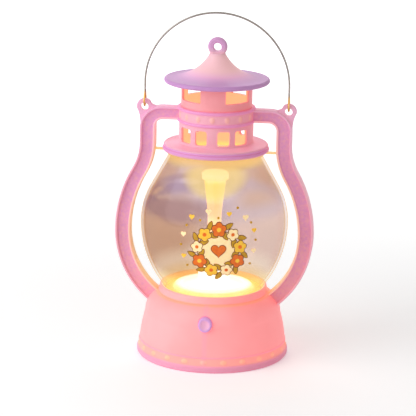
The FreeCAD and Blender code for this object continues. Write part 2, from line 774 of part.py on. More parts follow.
def contact_plate():
    """Flat contact at one end of the row."""
    half = contact_width / 2
    plate = block((-room_x, -room_x + contact_thickness), (-half, half), (cell_z - half, cell_z + half))
    return fused([plate, mirrored_x(solder_tab())])


def contact_spring():
    """Bent leaf contact that presses the row together."""
    back = room_x - contact_thickness
    nose = room_x - spring_room
    high = cell_z + contact_width / 2
    low = cell_z - contact_width / 2
    nose_high = cell_z + leaf_nose
    nose_low = cell_z - leaf_nose
    heel = (room_x - leaf_heel[0], low + leaf_heel[1])
    face = flat_face((room_x, low), (room_x, high), (room_x - leaf_fold, high), (nose, nose_high),
                     (nose, nose_low), heel, (heel[0] + leaf_end[0], heel[1] + leaf_end[1]),
                     (nose + contact_thickness, nose_low),
                     (nose + contact_thickness, nose_high), (back, high - leaf_heel[1]), (back, low))
    return fused([slab(face, contact_width), solder_tab()])


def piped(points, radius):
    """Round wire of straight steps with mitred joints."""
    path = Part.makePolygon([Vector(*point) for point in points])
    start = Vector(*points[0])
    ring = Part.Wire([Part.Circle(start, Vector(*points[1]) - start, radius).toShape()])
    return path.makePipeShell([ring], True, False, 1)


def lead():
    """Short wire from the right solder tab to the underside of the board."""
    z = tab_z + contact_thickness / 2
    start = holder_x + tab_reach
    bend_x = start + lead_straight
    rise_x = bend_x + lead_bend
    points = [(start, 0, z), (bend_x, 0, z), (rise_x, 0, z + lead_bend), (rise_x, 0, board_under)]
    return piped(points, lead_r)


def bottom_cover():
    """Disc that closes the base, with the cell opening, the door's recess and its screw boss."""
    disc = rod(rim_bore_r - fit, cover_recess, cover_top)
    boss = rod(door_boss_r, cover_top, cover_top + door_screw_length - door_thickness, door_screw_x)
    door_x = (-room_x - door_margin - door_gap, door_screw_x + door_margin + door_gap)
    half = room_y + door_margin + door_gap
    recess = block(door_x, (-half, half), (cover_recess, cover_recess + door_thickness + door_gap))
    opening = block((-room_x, room_x), (-room_y, room_y), (cover_recess, cover_top))
    tongue_half = door_tongue_width / 2 + door_gap
    tongue_top = cover_recess + door_thickness
    slot = block((door_x[0] - door_tongue_length - door_gap, door_x[0] + fit), (-tongue_half, tongue_half),
                 (tongue_top - door_tongue_height - fit, tongue_top + door_gap))
    pilot_top = cover_recess + door_screw_length + thread_gap
    pilot = rod(screw_r + thread_gap, cover_recess, pilot_top, door_screw_x)
    hole = rod(screw_r + screw_clearance, cover_recess, cover_top, cover_screw_at)
    holes = [around(hole, angle) for angle in cover_screw_angles]
    return fused([disc, boss]).cut([recess, opening, slot, pilot] + holes)


def battery_door():
    """Flat door with a tongue at one end, a screw hole at the other and a rib under the cells."""
    top = cover_recess + door_thickness
    half = room_y + door_margin
    low_x = -room_x - door_margin
    rib_x = room_x - door_rib_inset
    rib_y = door_rib_width / 2
    plate = block((low_x, door_screw_x + door_margin), (-half, half), (cover_recess, top))
    tongue = block((low_x - door_tongue_length, low_x), (-door_tongue_width / 2, door_tongue_width / 2),
                   (top - door_tongue_height, top))
    rib = block((-rib_x, rib_x), (-rib_y, rib_y), (top, cover_top))
    hole = rod(screw_r + small_screw_clearance, cover_recess, top, door_screw_x)
    return fused([plate, tongue, rib]).cut(hole)


def diffuser_plate():
    """Stepped white disc that closes the base under the globe and glows."""
    outer_r = globe_foot_r - globe_wall - fit
    low_top = base_height + plate_thickness
    high_top = low_top + plate_step
    hole = guide_plug_r + fit
    return turned(flat_face((hole, base_height), (outer_r, base_height), (outer_r, low_top),
                            (plate_step_r + plate_step_slope, low_top), (plate_step_r, high_top),
                            (hole, high_top)))


def light_guide():
    """Clear hourglass column that stands on the diffuser plate and carries the light up."""
    seat = base_height + plate_thickness + plate_step
    bottom = board_top + led_height + lamp_gap
    cap_low = seat + guide_height - guide_cap_height
    cap_top = seat + guide_height
    foot_z = seat + guide_foot_height
    waist_z = seat + guide_waist_height
    bend = (guide_waist_r + guide_bend_out, (foot_z + waist_z) / 2)
    return turned(flat_face((0, bottom), (guide_plug_r, bottom), (guide_plug_r, seat), (guide_foot_r, seat),
                            (guide_foot_r, foot_z), bend, (guide_waist_r, waist_z),
                            (guide_head_r, seat + guide_head_height), (guide_head_r, cap_low),
                            (guide_cap_r, cap_low), (guide_cap_r, cap_top - guide_cap_bevel),
                            (guide_cap_r - guide_cap_shoulder, cap_top), (0, cap_top)))


def bail_points():
    """Points along the bail's wire, from the free end of one eye to the free end of the other."""
    turn = math.degrees(bail_lean)
    loop = steps_on((0, 0), bail_loop_r, turn, -180 - turn, bail_loop_steps)
    tail_rise = bail_strand_height - (bail_wire_r + bail_tail_gap / 2) / math.tan(bail_lean)
    tail = ((bail_strand_height - tail_rise) * math.tan(bail_lean), tail_rise)
    eye = [tail] + loop + [(0, bail_strand_height)]
    high = bail_z + bail_leg_height
    arch = steps_on((0, high), ear_x, 180, 0, bail_arch_steps)
    left = [(-ear_x, y, bail_z + z) for y, z in eye]
    right = [(ear_x, y, bail_z + z) for y, z in eye[::-1]]
    return left + [(x, 0, z) for x, z in arch] + right


def bail_wire():
    """Bent wire bail: an eye through each ear, two legs and a round arch."""
    return piped(bail_points(), bail_wire_r)


pieces = {
    "roof_cap": roof_cap,
    "upper_vent": upper_vent,
    "side_frame": side_frame,
    "lower_vent": lower_vent,
    "globe": globe,
    "light_guide": light_guide,
    "diffuser_plate": diffuser_plate,
    "base_shell": base_shell,
    "push_button": push_button,
    "switch_plunger": switch_plunger,
    "switch_body": switch_body,
    "circuit_board": circuit_board,
    "board_screws": board_screws,
    "led": led,
    "resistor": resistor,
    "battery_holder": battery_holder,
    "button_cells": button_cells,
    "contact_plate": contact_plate,
    "contact_spring": contact_spring,
    "lead_red": lambda: mirrored_x(lead()),
    "lead_black": lead,
    "bottom_cover": bottom_cover,
    "battery_door": battery_door,
    "door_screw": door_screw,
    "cover_screws": cover_screws,
    "bail_wire": bail_wire,
}

os.makedirs("parts", exist_ok=True)
for name, make in pieces.items():
    shape = make()
    print("%-15s solids %d, volume %.2f, valid %s" % (name, len(shape.Solids), shape.Volume, shape.isValid()))
    shape.exportStep("parts/" + name + ".step")
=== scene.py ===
import math

import bmesh
import bpy
from mathutils import Matrix, Vector


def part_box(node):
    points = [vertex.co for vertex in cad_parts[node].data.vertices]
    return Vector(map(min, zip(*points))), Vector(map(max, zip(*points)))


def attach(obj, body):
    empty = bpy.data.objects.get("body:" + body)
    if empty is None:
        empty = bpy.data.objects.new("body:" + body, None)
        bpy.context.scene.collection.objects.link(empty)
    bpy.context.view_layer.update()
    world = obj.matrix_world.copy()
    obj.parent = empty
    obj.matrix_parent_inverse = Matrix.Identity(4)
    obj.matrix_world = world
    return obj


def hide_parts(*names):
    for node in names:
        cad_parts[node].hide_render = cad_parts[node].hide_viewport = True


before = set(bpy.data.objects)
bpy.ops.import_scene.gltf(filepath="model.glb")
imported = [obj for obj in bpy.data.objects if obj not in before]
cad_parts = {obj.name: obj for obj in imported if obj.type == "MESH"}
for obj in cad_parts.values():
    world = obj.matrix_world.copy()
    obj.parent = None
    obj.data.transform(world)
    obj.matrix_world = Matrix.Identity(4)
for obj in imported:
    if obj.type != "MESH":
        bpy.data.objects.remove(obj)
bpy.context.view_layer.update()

MM = 0.001
FULL = 2 * math.pi
TINY = 1e-6


def added(name, data):
    """A new object in the scene."""
    obj = bpy.data.objects.new(name, data)
    bpy.context.scene.collection.objects.link(obj)
    return obj


# Camera

CAMERA_AZIMUTH = math.radians(6.2)
CAMERA_ELEVATION = math.radians(14.0)
CAMERA_ROLL = math.radians(1.1)
CAMERA_DISTANCE = 0.8
CAMERA_AIM = Vector((0, 0, 0.0615))
CAMERA_LENS = 179.38
CAMERA_SHIFT = (-0.01659, -0.024)


def make_camera():
    data = bpy.data.cameras.new("camera")
    data.sensor_width = 36
    data.lens = CAMERA_LENS
    data.shift_x, data.shift_y = CAMERA_SHIFT
    data.clip_start = 0.01
    data.clip_end = 20
    camera = added("camera", data)
    level = math.cos(CAMERA_ELEVATION)
    back = Vector((level * math.sin(CAMERA_AZIMUTH), -level * math.cos(CAMERA_AZIMUTH),
                   math.sin(CAMERA_ELEVATION)))
    camera.location = CAMERA_AIM + back * CAMERA_DISTANCE
    turn = (-back).to_track_quat("-Z", "Y").to_matrix().to_4x4() @ Matrix.Rotation(CAMERA_ROLL, 4, "Z")
    camera.rotation_euler = turn.to_euler()
    bpy.context.scene.camera = camera


make_camera()
bpy.context.scene.view_settings.view_transform = "Standard"


# Sizes, in millimetres

Y, Z = 1, 2


def side(node, axis, end):
    """One side of a CAD node's box: end 0 is the lower one, 1 the upper."""
    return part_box(node)[end][axis] / MM


SEAT_Z = side("globe", Z, 0)
RING_TOP = side("base_shell", Z, 1)
BELLY_Z = SEAT_Z + 28.2
FLANGE_Z = side("globe", Z, 1)
BAND_Z = side("lower_vent", Z, 1)
BAND_TOP = BAND_Z + 6.0
ARM_TOP = BAND_TOP - 0.8
ROOF_Z = side("roof_cap", Z, 0)
TIP_Z = ROOF_Z + 11.3
HANG_Z = TIP_Z + 2.35

BASE_R = 29.45
BEADS_LOW, BEADS_HIGH = (28.98, 3.0), (28.53, 5.3)      # radius and height of the base's bead band
WALL_Z = 6.3
SHOULDER_Z = SEAT_Z - 7.9
NECK_RING_R = 21.14
NECK_RING_BORE = 19.61

GLOBE_R = 28.45
LOW_ROUND = 40.0
HIGH_ROUND = 27.4
GLOBE_WALL = 1.0
NECK_R = 17.6
GLOBE_COLLAR_Z = FLANGE_Z - 1.4
GLOBE_COLLAR_R = 18.9

PLATE_TOP = SEAT_Z + 2.8
PLATE_BORE = 5.3
GUIDE_CAP_Z = 41.9      # this and the next from the plate's top
GUIDE_TOP = 44.9
GUIDE_CAP_R = 5.2

BUTTON_Z = (side("push_button", Z, 0) + side("push_button", Z, 1)) / 2
BUTTON_WIDTH = 5.3
BUTTON_HEIGHT = 5.6
BUTTON_LEAN = 12.0
BUTTON_FRONT = 27.49
BUTTON_GAP = 0.15

BAND_R = 14.35
COLLAR_R = 13.6
LOW_COLLAR_R = 14.25
FLANGE_R = 20.6

EAR_X = 27.65
EAR_Z = ARM_TOP - 0.5
EAR_R = 3.1
EAR_HALF = 1.05
EAR_HOLE_R = 1.5
BAIL_Z = EAR_Z + 2.3
EYE_R = 2.03
WIRE_R = 0.375


# Outlines

STRAIGHT = 0.02     # a corner that turns by less, in radians, isn't rounded
HALF_EDGE = 0.49    # share of an edge that one corner may take


def rounded(corners, steps=5):
    """Closed outline through corners (a, b) or (a, b, radius)."""
    points = []
    for k, corner in enumerate(corners):
        here = Vector(corner[:2])
        radius = corner[2] if len(corner) > 2 else 0
        before = Vector(corners[k - 1][:2]) - here
        after = Vector(corners[(k + 1) % len(corners)][:2]) - here
        a, b = before.normalized(), after.normalized()
        angle = a.angle(b)
        sweep = math.pi - angle
        if radius <= 0 or sweep < STRAIGHT:
            points.append(tuple(here))
            continue
        cut = min(radius / math.tan(angle / 2), before.length * HALF_EDGE, after.length * HALF_EDGE)
        radius = cut * math.tan(angle / 2)
        centre = here + (a + b).normalized() * (radius / math.sin(angle / 2))
        start, end = here + a * cut - centre, here + b * cut - centre
        for s in range(steps + 1):
            t = s / steps
            points.append(tuple(centre + (start * math.sin((1 - t) * sweep) + end * math.sin(t * sweep))
                                / math.sin(sweep)))
    return points


def box_corners(half, low, high, radius):
    """Rounded corners of a rectangle about the upright axis."""
    return [(-half, low, radius), (half, low, radius), (half, high, radius), (-half, high, radius)]


def arc(centre, radius, start, end, count):
    """Points on an arc, angles in degrees."""
    turns = [math.radians(start + (end - start) * k / count) for k in range(count + 1)]
    return [(centre[0] + radius * math.cos(a), centre[1] + radius * math.sin(a)) for a in turns]


def circle(centre, radius, count):
    return arc(centre, radius, 0, 360, count)[:-1]


def angles(count):
    """Even steps of a whole turn, in radians."""
    return [FULL * k / count for k in range(count)]


def along(a, b, count):
    """Points on a straight line, without its last one."""
    return [(a[0] + (b[0] - a[0]) * k / count, a[1] + (b[1] - a[1]) * k / count) for k in range(count)]


def heights(low, high, count):
    """Even steps from one height to another, without the last one."""
    return [low + (high - low) * k / count for k in range(count)]


# Meshes

SHARP = math.radians(38)


def shade(obj):
    """Smooth shading with sharp edges above an angle."""
    mesh = obj.data
    mesh.polygons.foreach_set("use_smooth", [True] * len(mesh.polygons))
    mesh.set_sharp_from_angle(angle=SHARP)


def put(name, verts, faces, materials=(), indices=None):
    """Object from vertices in millimetres."""
    mesh = bpy.data.meshes.new(name)
    mesh.from_pydata([(x * MM, y * MM, z * MM) for x, y, z in verts], [], faces)
    for material in materials:
        mesh.materials.append(material)
    if indices:
        mesh.polygons.foreach_set("material_index", indices)
    bm = bmesh.new()
    bm.from_mesh(mesh)
    bmesh.ops.remove_doubles(bm, verts=bm.verts, dist=1e-7)
    bmesh.ops.recalc_face_normals(bm, faces=bm.faces)
    bm.to_mesh(mesh)
    bm.free()
    obj = added(name, mesh)
    shade(obj)
    return obj


def lathe(name, outline, materials, segments, swell=None, choose=None):
    """Closed body turned about Z from a closed outline of (r, z). swell(angle, r, z) gives a new r."""
    verts, faces, indices = [], [], []
    count = len(outline)
    for angle in angles(segments):
        for r, z in outline:
            if swell:
                r = swell(angle, r, z)
            verts.append((r * math.sin(angle), -r * math.cos(angle), z))
    for s in range(segments):
        t = (s + 1) % segments
        for k in range(count):
            j = (k + 1) % count
            if outline[k][0] <= TINY and outline[j][0] <= TINY:
                continue
            quad = [s * count + k, s * count + j, t * count + j, t * count + k]
            if outline[k][0] <= TINY:
                quad = quad[:3]
            elif outline[j][0] <= TINY:
                quad = [quad[0], quad[1], quad[3]]
            faces.append(quad)
            indices.append(choose(outline[k], outline[j]) if choose else 0)
    return put(name, verts, faces, materials, indices)


def loft(name, loops, materials=(), indices=None):
    """Closed body through loops of equal length, capped at both ends."""
    count = len(loops[0])
    verts = [p for loop in loops for p in loop]
    faces, chosen = [], []
    for s in range(len(loops) - 1):
        for k in range(count):
            j = (k + 1) % count
            faces.append([s * count + k, s * count + j, (s + 1) * count + j, (s + 1) * count + k])
            chosen.append(indices[k] if indices else 0)
    faces.append(list(range(count))[::-1])
    faces.append([(len(loops) - 1) * count + k for k in range(count)])
    return put(name, verts, faces, materials, chosen + [0, 0])


def prism_y(name, outline, low, high, materials=()):
    """Body along Y from an outline of (x, z)."""
    return loft(name, [[(x, y, z) for x, z in outline] for y in (low, high)], materials)


def tube(name, points, radius, sides, materials):
    """Round wire along points, its ends slightly rounded."""
    points = [Vector(p) for p in points]
    loops = []
    normal = None
    ends = [(0.5, 0.55), (0.275, 0.9), (0.0, 1.0)]      # distance and size of the last rings, in radii
    for k, point in enumerate(points):
        ahead = (points[min(k + 1, len(points) - 1)] - points[max(k - 1, 0)]).normalized()
        if normal is None:
            normal = ahead.orthogonal().normalized()
        normal = (normal - ahead * normal.dot(ahead)).normalized()
        sideways = ahead.cross(normal)
        rings = [(0.0, 1.0)]
        if k == 0:
            rings = [(-shift, scale) for shift, scale in ends]
        elif k == len(points) - 1:
            rings = ends[::-1]
        for shift, scale in rings:
            middle = point + ahead * radius * shift
            loops.append([tuple(middle + (normal * math.cos(a) + sideways * math.sin(a)) * radius * scale)
                          for a in angles(sides)])
    return loft(name, loops, materials)


def combine(obj, others, operation):
    """Boolean with each of the others, which then go."""
    for other in others:
        modifier = obj.modifiers.new("combine", "BOOLEAN")
        modifier.operation = operation
        modifier.solver = "EXACT"
        modifier.material_mode = "TRANSFER"
        modifier.object = other
    graph = bpy.context.evaluated_depsgraph_get()
    old, mesh = obj.data, bpy.data.meshes.new_from_object(obj.evaluated_get(graph))
    obj.modifiers.clear()
    obj.data = mesh
    bpy.data.meshes.remove(old)
    for other in others:
        data = other.data
        bpy.data.objects.remove(other)
        bpy.data.meshes.remove(data)
    bm = bmesh.new()
    bm.from_mesh(mesh)
    bmesh.ops.remove_doubles(bm, verts=bm.verts, dist=2e-6)
    bmesh.ops.dissolve_degenerate(bm, edges=bm.edges, dist=1e-6)
    bm.to_mesh(mesh)
    bm.free()
    shade(obj)
    return obj


def settle(obj, body, node):
    """The piece moves with a body and stands for a CAD node."""
    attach(obj, body)
    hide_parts(node)


# Nodes

def srgb(tint):
    """Linear colour of a tint in 0 to 255."""
    shares = [c / 255 for c in tint]
    return (*[c / 12.92 if c <= 0.04045 else ((c + 0.055) / 1.055) ** 2.4 for c in shares], 1.0)


class Nodes:
    """Small helper for the nodes of one material, or of the world."""

    def __init__(self, owner, output="OutputMaterial"):
        owner.use_nodes = True
        self.owner = owner
        self.tree = owner.node_tree
        self.tree.nodes.clear()
        self.output = self.new(output)
        self.place = None
        self.parts = None

    def new(self, kind, **values):
        node = self.tree.nodes.new("ShaderNode" + kind)
        for key, value in values.items():
            setattr(node, key, value)
        return node

    def feed(self, socket, value):
        """Gives an input another node's output, a value or a tint."""
        if isinstance(value, bpy.types.NodeSocket):
            self.tree.links.new(value, socket)
        elif socket.type == "RGBA" and len(value) == 3:
            socket.default_value = srgb(value)
        else:
            socket.default_value = value

    def make(self, kind, *values, **settings):
        """First output of a new node, with these values in its first inputs."""
        node = self.new(kind, **settings)
        for socket, value in zip(node.inputs, values):
            self.feed(socket, value)
        return node.outputs[0]

    def named(self, kind, **values):
        """First output of a new node, with these values in the inputs of these names."""
        node = self.new(kind)
        for key, value in values.items():
            self.feed(node.inputs[key.replace("_", " ")], value)
        return node.outputs[0]

    def at(self):
        """Object coordinates, in metres in the frame."""
        if self.place is None:
            self.place = self.new("TexCoord").outputs["Object"]
        return self.place

    def axis(self, name):
        if self.parts is None:
            self.parts = self.new("SeparateXYZ")
            self.feed(self.parts.inputs[0], self.at())
        return self.parts.outputs[name]

    def scaled(self, scale):
        """Object coordinates, times a number along each axis."""
        return self.named("Mapping", Vector=self.at(), Scale=scale)

    def distance(self, vector, point=(0, 0, 0)):
        node = self.new("VectorMath", operation="DISTANCE")
        self.feed(node.inputs[0], vector)
        node.inputs[1].default_value = point
        return node.outputs["Value"]

    def radius(self):
        """Distance from the upright axis, in metres."""
        return self.distance(self.scaled((1, 1, 0)))

    def math(self, operation, a, b=0.5, c=0.5):
        return self.make("Math", a, b, c, operation=operation)

    def times(self, a, b):
        return self.math("MULTIPLY", a, b)

    def larger(self, a, b):
        return self.math("MAXIMUM", a, b)

    def span(self, value, low, high, to_low=0.0, to_high=1.0, smooth=True):
        """The value's way from low to high, as a number from to_low to to_high."""
        return self.make("MapRange", value, low, high, to_low, to_high,
                         interpolation_type="SMOOTHSTEP" if smooth else "LINEAR")

    def level(self, low, high, to_low=0.0, to_high=1.0):
        """The same for the height, in millimetres."""
        return self.span(self.axis("Z"), low * MM, high * MM, to_low, to_high)

    def noise(self, scale, detail=3.0, roughness=0.5, stretch=None):
        return self.named("TexNoise", Vector=self.scaled(stretch) if stretch else self.at(),
                          Scale=scale, Detail=detail, Roughness=roughness)

    def wavered(self, value, noise, amount):
        """The value moved up and down by a noise, over an amount in all."""
        return self.math("ADD", value, self.math("MULTIPLY_ADD", noise, amount, -amount / 2))

    def mix(self, fac, a, b):
        node = self.new("Mix", data_type="RGBA")
        for index, value in ((0, fac), (6, a), (7, b)):
            self.feed(node.inputs[index], value)
        return node.outputs[2]

    def ramp(self, value, stops):
        """Colour ramp from (place, tint) stops."""
        node = self.new("ValToRGB")
        elements = node.color_ramp.elements
        while len(elements) < len(stops):
            elements.new(0.5)
        for element, (place, tint) in zip(elements, stops):
            element.position = place
            element.color = srgb(tint)
        self.feed(node.inputs["Fac"], value)
        return node.outputs["Color"]

    def bump(self, height, strength, distance=0.0001):
        return self.named("Bump", Strength=strength, Distance=distance, Height=height)

    def surface(self, colour, grain, rough, relief, distance=0.0001, **values):
        """Finish with a grain. It glows in its own colour unless told otherwise."""
        values = {"Emission_Color": colour, **values}
        return self.finish(self.named("BsdfPrincipled", Base_Color=colour,
                                      Roughness=self.span(grain, 0.3, 0.7, *rough),
                                      Normal=self.bump(grain, relief, distance), **values))

    def finish(self, socket):
        self.feed(self.output.inputs["Surface"], socket)
        return self.owner


def new_skin(name):
    return Nodes(bpy.data.materials.new(name))


# Tints

SALMON = (253, 190, 194)
CORAL = (231, 174, 180)
PINK = (229, 186, 204)
ROSE = (239, 175, 207)
BLUSH = (248, 204, 184)
ORCHID = (218, 162, 221)
BLOSSOM = (238, 198, 222)
GROOVE_SHADE = (204, 124, 176)
LILAC = (207, 150, 216)
PEACH = (251, 190, 146)
CREAM = (255, 230, 172)
LEMON = (253, 222, 124)
AMBER = (253, 206, 124)
APRICOT = (246, 196, 160)
GOLD_REFLECTION = (226, 176, 92)
WHITE = (255, 252, 236)
DEEP = (255, 92, 84)        # light that has come through pink plastic
GLOWING = (255, 190, 164)   # the same through a thinner wall

TAN = (196, 152, 124)       # these five are a painted reflection of a blurred room, seen through the clear globe
MAUVE = (222, 192, 180)
LAVENDER = (194, 176, 198)
DUSK = (138, 102, 120)
CLEAR = (252, 240, 214)


def clouded(n, tint, dark, scale, detail):
    """The tint with large patches that are a little darker."""
    patches = n.span(n.noise(scale, detail), 0.3, 0.7)
    return n.mix(patches, [int(c * dark) for c in tint], tint)


def zone(low, high, tint, amount=1.0, soft=0.25):
    """Another tint between two heights, in millimetres."""
    def add(n, colour):
        up, down = n.level(low - soft, low + soft), n.level(high + soft, high - soft)
        return n.mix(n.times(n.times(up, down), amount), colour, tint)
    return add


def towards(start, end, tint, amount=1.0):
    """Another tint that takes over from one height to another, in millimetres."""
    def add(n, colour):
        return n.mix(n.level(start, end, 0.0, amount), colour, tint)
    return add


def bead_highlight(radius, low, high, tint, amount, taper=0.0):
    """Beads that stand out of a wall between two heights take another, lighter tint: a painted highlight."""
    def add(n, colour):
        beyond = n.math("MULTIPLY_ADD", n.math("SUBTRACT", n.axis("Z"), low * MM), taper, n.radius())
        out = n.span(beyond, (radius + 0.02) * MM, (radius + 0.2) * MM, 0.0, amount)
        between = n.times(n.level(low, low + 0.2), n.level(high, high - 0.2))
        return n.mix(n.times(out, between), colour, tint)
    return add


def speckle(n, colour):
    """Cloudy light and dark specks, as in a textured mould."""
    specks = n.noise(900, 3.0, 0.6)
    dark = n.mix(n.span(specks, 0.32, 0.5, 0.3, 0.0), colour, LILAC)
    return n.mix(n.span(specks, 0.5, 0.68, 0.0, 0.3), dark, BLUSH)


def mould_seam(n, colour):
    """Faint upright line at the front, where the mould's halves met."""
    line = n.span(n.math("ABSOLUTE", n.axis("X")), 0.2 * MM, 1.7 * MM, 0.35, 0.0)
    front = n.span(n.axis("Y"), -10 * MM, -20 * MM)
    return n.mix(n.times(line, front), colour, ROSE)


# Pink and lilac plastic

INSIDE_EDGE = 0.35      # half of the lit zone's soft edge
INSIDE_GLOW = 0.5


def satin(name, tint, details, glow, light=DEEP, rough=0.46, grain=(5200, 0.02), fades=(), inside=None):
    """Milky satin plastic with some light coming through. Each detail changes the colour in its place.

    fades are levels that multiply the glow. inside is the radius in which an inner wall is lit, with two
    heights and the tint at each.
    """
    n = new_skin(name)
    colour = clouded(n, tint, 0.96, 70, 2.0)
    for detail in details:
        colour = detail(n, colour)
    strength = glow
    for fade in fades:
        strength = n.times(strength, n.level(*fade))
    if inside:
        radius, low, high, low_tint, high_tint = inside
        lit = n.span(n.radius(), (radius + INSIDE_EDGE) * MM, (radius - INSIDE_EDGE) * MM)
        warm = n.mix(n.level(low, high), low_tint, high_tint)
        colour = n.mix(lit, colour, warm)
        light = n.mix(lit, light, warm)
        strength = n.larger(n.times(lit, INSIDE_GLOW), strength)
    scale, relief = grain
    return n.surface(colour, n.noise(scale, 4.0, 0.6), (rough - 0.05, rough + 0.07), relief,
                     Specular_IOR_Level=0.3, Emission_Color=light, Emission_Strength=strength)


BEADS_TAPER = (BEADS_LOW[0] - BEADS_HIGH[0]) / (BEADS_HIGH[1] - BEADS_LOW[1])
# Painted warm glow in the crease at the neck ring's foot, beside the lit plate inside.
ring_foot_glow = zone(SEAT_Z - 0.3, SEAT_Z + 0.5, PEACH, 0.7)

# The peach over the bead band is painted warm glow.
base_skin = satin(
    "base_pink", SALMON,
    [zone(0, 2.7, ROSE), zone(2.9, 5.3, PEACH, 0.3), zone(5.6, 6.1, ROSE, 0.7),
     bead_highlight(BEADS_LOW[0], BEADS_LOW[1] - 0.1, BEADS_HIGH[1] + 0.1, CREAM, 0.42, BEADS_TAPER),
     ring_foot_glow, mould_seam], 1.0, fades=[(1.5, 4, 0.16, 0.46)])
ring_skin = satin("neck_ring_pink", SALMON, [ring_foot_glow], 0.44, inside=(20.15, SEAT_Z, RING_TOP, CREAM, BLUSH))
roof_skin = satin(
    "roof_pink", LILAC,
    [towards(ROOF_Z + 1.6, ROOF_Z + 3.0, ORCHID), towards(ROOF_Z + 2.8, ROOF_Z + 5.8, PINK),
     towards(TIP_Z - 1, TIP_Z + 3, LILAC, 0.8)], 1.0, GLOWING,
    fades=[(ROOF_Z + 1.6, ROOF_Z + 4.5, 0.22, 1.0), (TIP_Z + 1.5, TIP_Z - 2, 0.12, 0.33)])
upper_vent_skin = satin("upper_vent_coral", CORAL, [], 0.3,
                        inside=(COLLAR_R - 0.7, BAND_TOP, ROOF_Z, PEACH, PEACH))
# The darker tint in the groove between the flange's two ridges is painted shade.
lower_vent_skin = satin(
    "lower_vent_pink", PINK,
    [zone(FLANGE_Z + 0.2, FLANGE_Z + 2.1, ORCHID), zone(FLANGE_Z + 2.2, FLANGE_Z + 3.1, BLOSSOM, 0.9),
     zone(FLANGE_Z + 1.15, FLANGE_Z + 1.4, GROOVE_SHADE, 0.7, 0.12)], 1.0,
    fades=[(FLANGE_Z + 1.8, FLANGE_Z + 4, 0.18, 0.26)],
    inside=(LOW_COLLAR_R - 0.8, FLANGE_Z - 1.6, FLANGE_Z + 1.2, LEMON, PEACH))
band_skin = satin(
    "band_pink", PINK,
    [zone(BAND_Z, BAND_Z + 1.3, ORCHID, 0.85), zone(BAND_TOP - 1.3, BAND_TOP, ORCHID, 0.85),
     bead_highlight(BAND_R, BAND_Z + 1.4, BAND_TOP - 1.4, BLUSH, 0.6)], 0.27)
channel_skin = satin(
    "arm_channel", ROSE,
    [towards(40, 66, ORCHID, 0.35), towards(46, 24, SALMON, 0.4), speckle],
    0.12, rough=0.6, grain=(2400, 0.6))
lip_skin = satin("arm_lip", ROSE, [towards(66, ARM_TOP, ORCHID, 0.5)], 0.24, GLOWING)
# The inner lip and the inner face, towards the globe, carry painted warm light from it: blush and cream low
# down, turning rose higher up.
inner_lip_skin = satin("arm_inner_lip", BLUSH, [towards(70, 94, ROSE, 0.8)], 0.34, GLOWING)
inner_skin = satin("arm_inner", CREAM, [towards(78, 94, ROSE, 0.8)], 0.16, GLOWING)


def button_material():
    """Lilac rim and a pinker dish."""
    n = new_skin("button_lilac")
    away = n.distance(n.at(), (0, -BUTTON_FRONT * MM, BUTTON_Z * MM))
    colour = n.mix(n.span(away, 1.2 * MM, 2.4 * MM), ROSE, ORCHID)
    # Its faint glow is painted light.
    return n.surface(colour, n.noise(5200, 4.0, 0.6), (0.36, 0.46), 0.02, Emission_Strength=0.2)


button_skin = button_material()


# Lit plate and light guide

def plate_material():
    """Lit disc: white in the middle, yellow in its outer zone."""
    n = new_skin("diffuser_lit")
    cloud = n.noise(220)
    place = n.wavered(n.radius(), cloud, 1.6 * MM)
    colour = n.mix(n.span(place, 13 * MM, 17 * MM), WHITE, LEMON)
    return n.surface(colour, cloud, (0.5, 0.5), 0.05, 0.0002, Specular_IOR_Level=0.2,
                     Emission_Strength=n.span(place, 13 * MM, 17 * MM, 1.0, 0.55))


def guide_material():
    """Clear column full of light: white at its foot, yellow above, with a pale cap."""
    n = new_skin("guide_glow")
    share = n.span(n.axis("Z"), SEAT_Z * MM, (PLATE_TOP + GUIDE_TOP) * MM, smooth=False)
    streaks = n.noise(300, stretch=(1.0, 1.0, 0.12))
    stops = [(0.25, WHITE), (0.55, CREAM), (0.9, LEMON), (0.97, WHITE)]
    colour = n.ramp(n.wavered(share, streaks, 0.08), stops)
    colour = n.mix(n.span(streaks, 0.42, 0.8, 0.0, 0.3), colour, WHITE)
    return n.surface(colour, streaks, (0.15, 0.15), 0.2, 0.0002, Emission_Strength=1.25)


# Globe

def thin(tint):
    """What one of the four surfaces in a line of sight lets through, so that all of them give the tint."""
    return [c ** 0.25 for c in srgb(tint)[:3]] + [1.0]


def painted_room_reflection(n):
    """Painted reflection of a blurred room, as what the clear shell lets through: brown to one side and
    above, mauve to the other, clear at the foot.
    """
    across = n.span(n.axis("X"), -GLOBE_R * MM, GLOBE_R * MM, smooth=False)
    place = n.wavered(across, n.noise(42, 2.0, 0.45, (1.0, 1.0, 1.5)), 0.36)
    tint = n.mix(n.span(place, 0.3, 0.52), thin(TAN), thin(MAUVE))
    cool = n.times(n.level(56, 63), n.level(76, 70))
    tint = n.mix(n.times(cool, n.span(place, 0.1, 0.28)), tint, thin(LAVENDER))
    shoulder = n.times(n.level(60, 67), n.span(place, 0.62, 0.8, 0.0, 0.85))
    tint = n.mix(n.larger(shoulder, n.level(72, 78, 0.0, 0.9)), tint, thin(TAN))
    # The dark streaks are painted reflections too.
    streaks = n.span(n.noise(60, 2.0, 0.4, (1.0, 1.0, 2.6)), 0.4, 0.58)
    dark = n.times(n.times(streaks, n.span(place, 0.75, 0.35)), n.times(n.level(55, 60), n.level(68, 64)))
    tint = n.mix(n.times(dark, 0.9), tint, thin(DUSK))
    return n.mix(n.level(RING_TOP + 11, RING_TOP + 4), tint, thin(CLEAR))


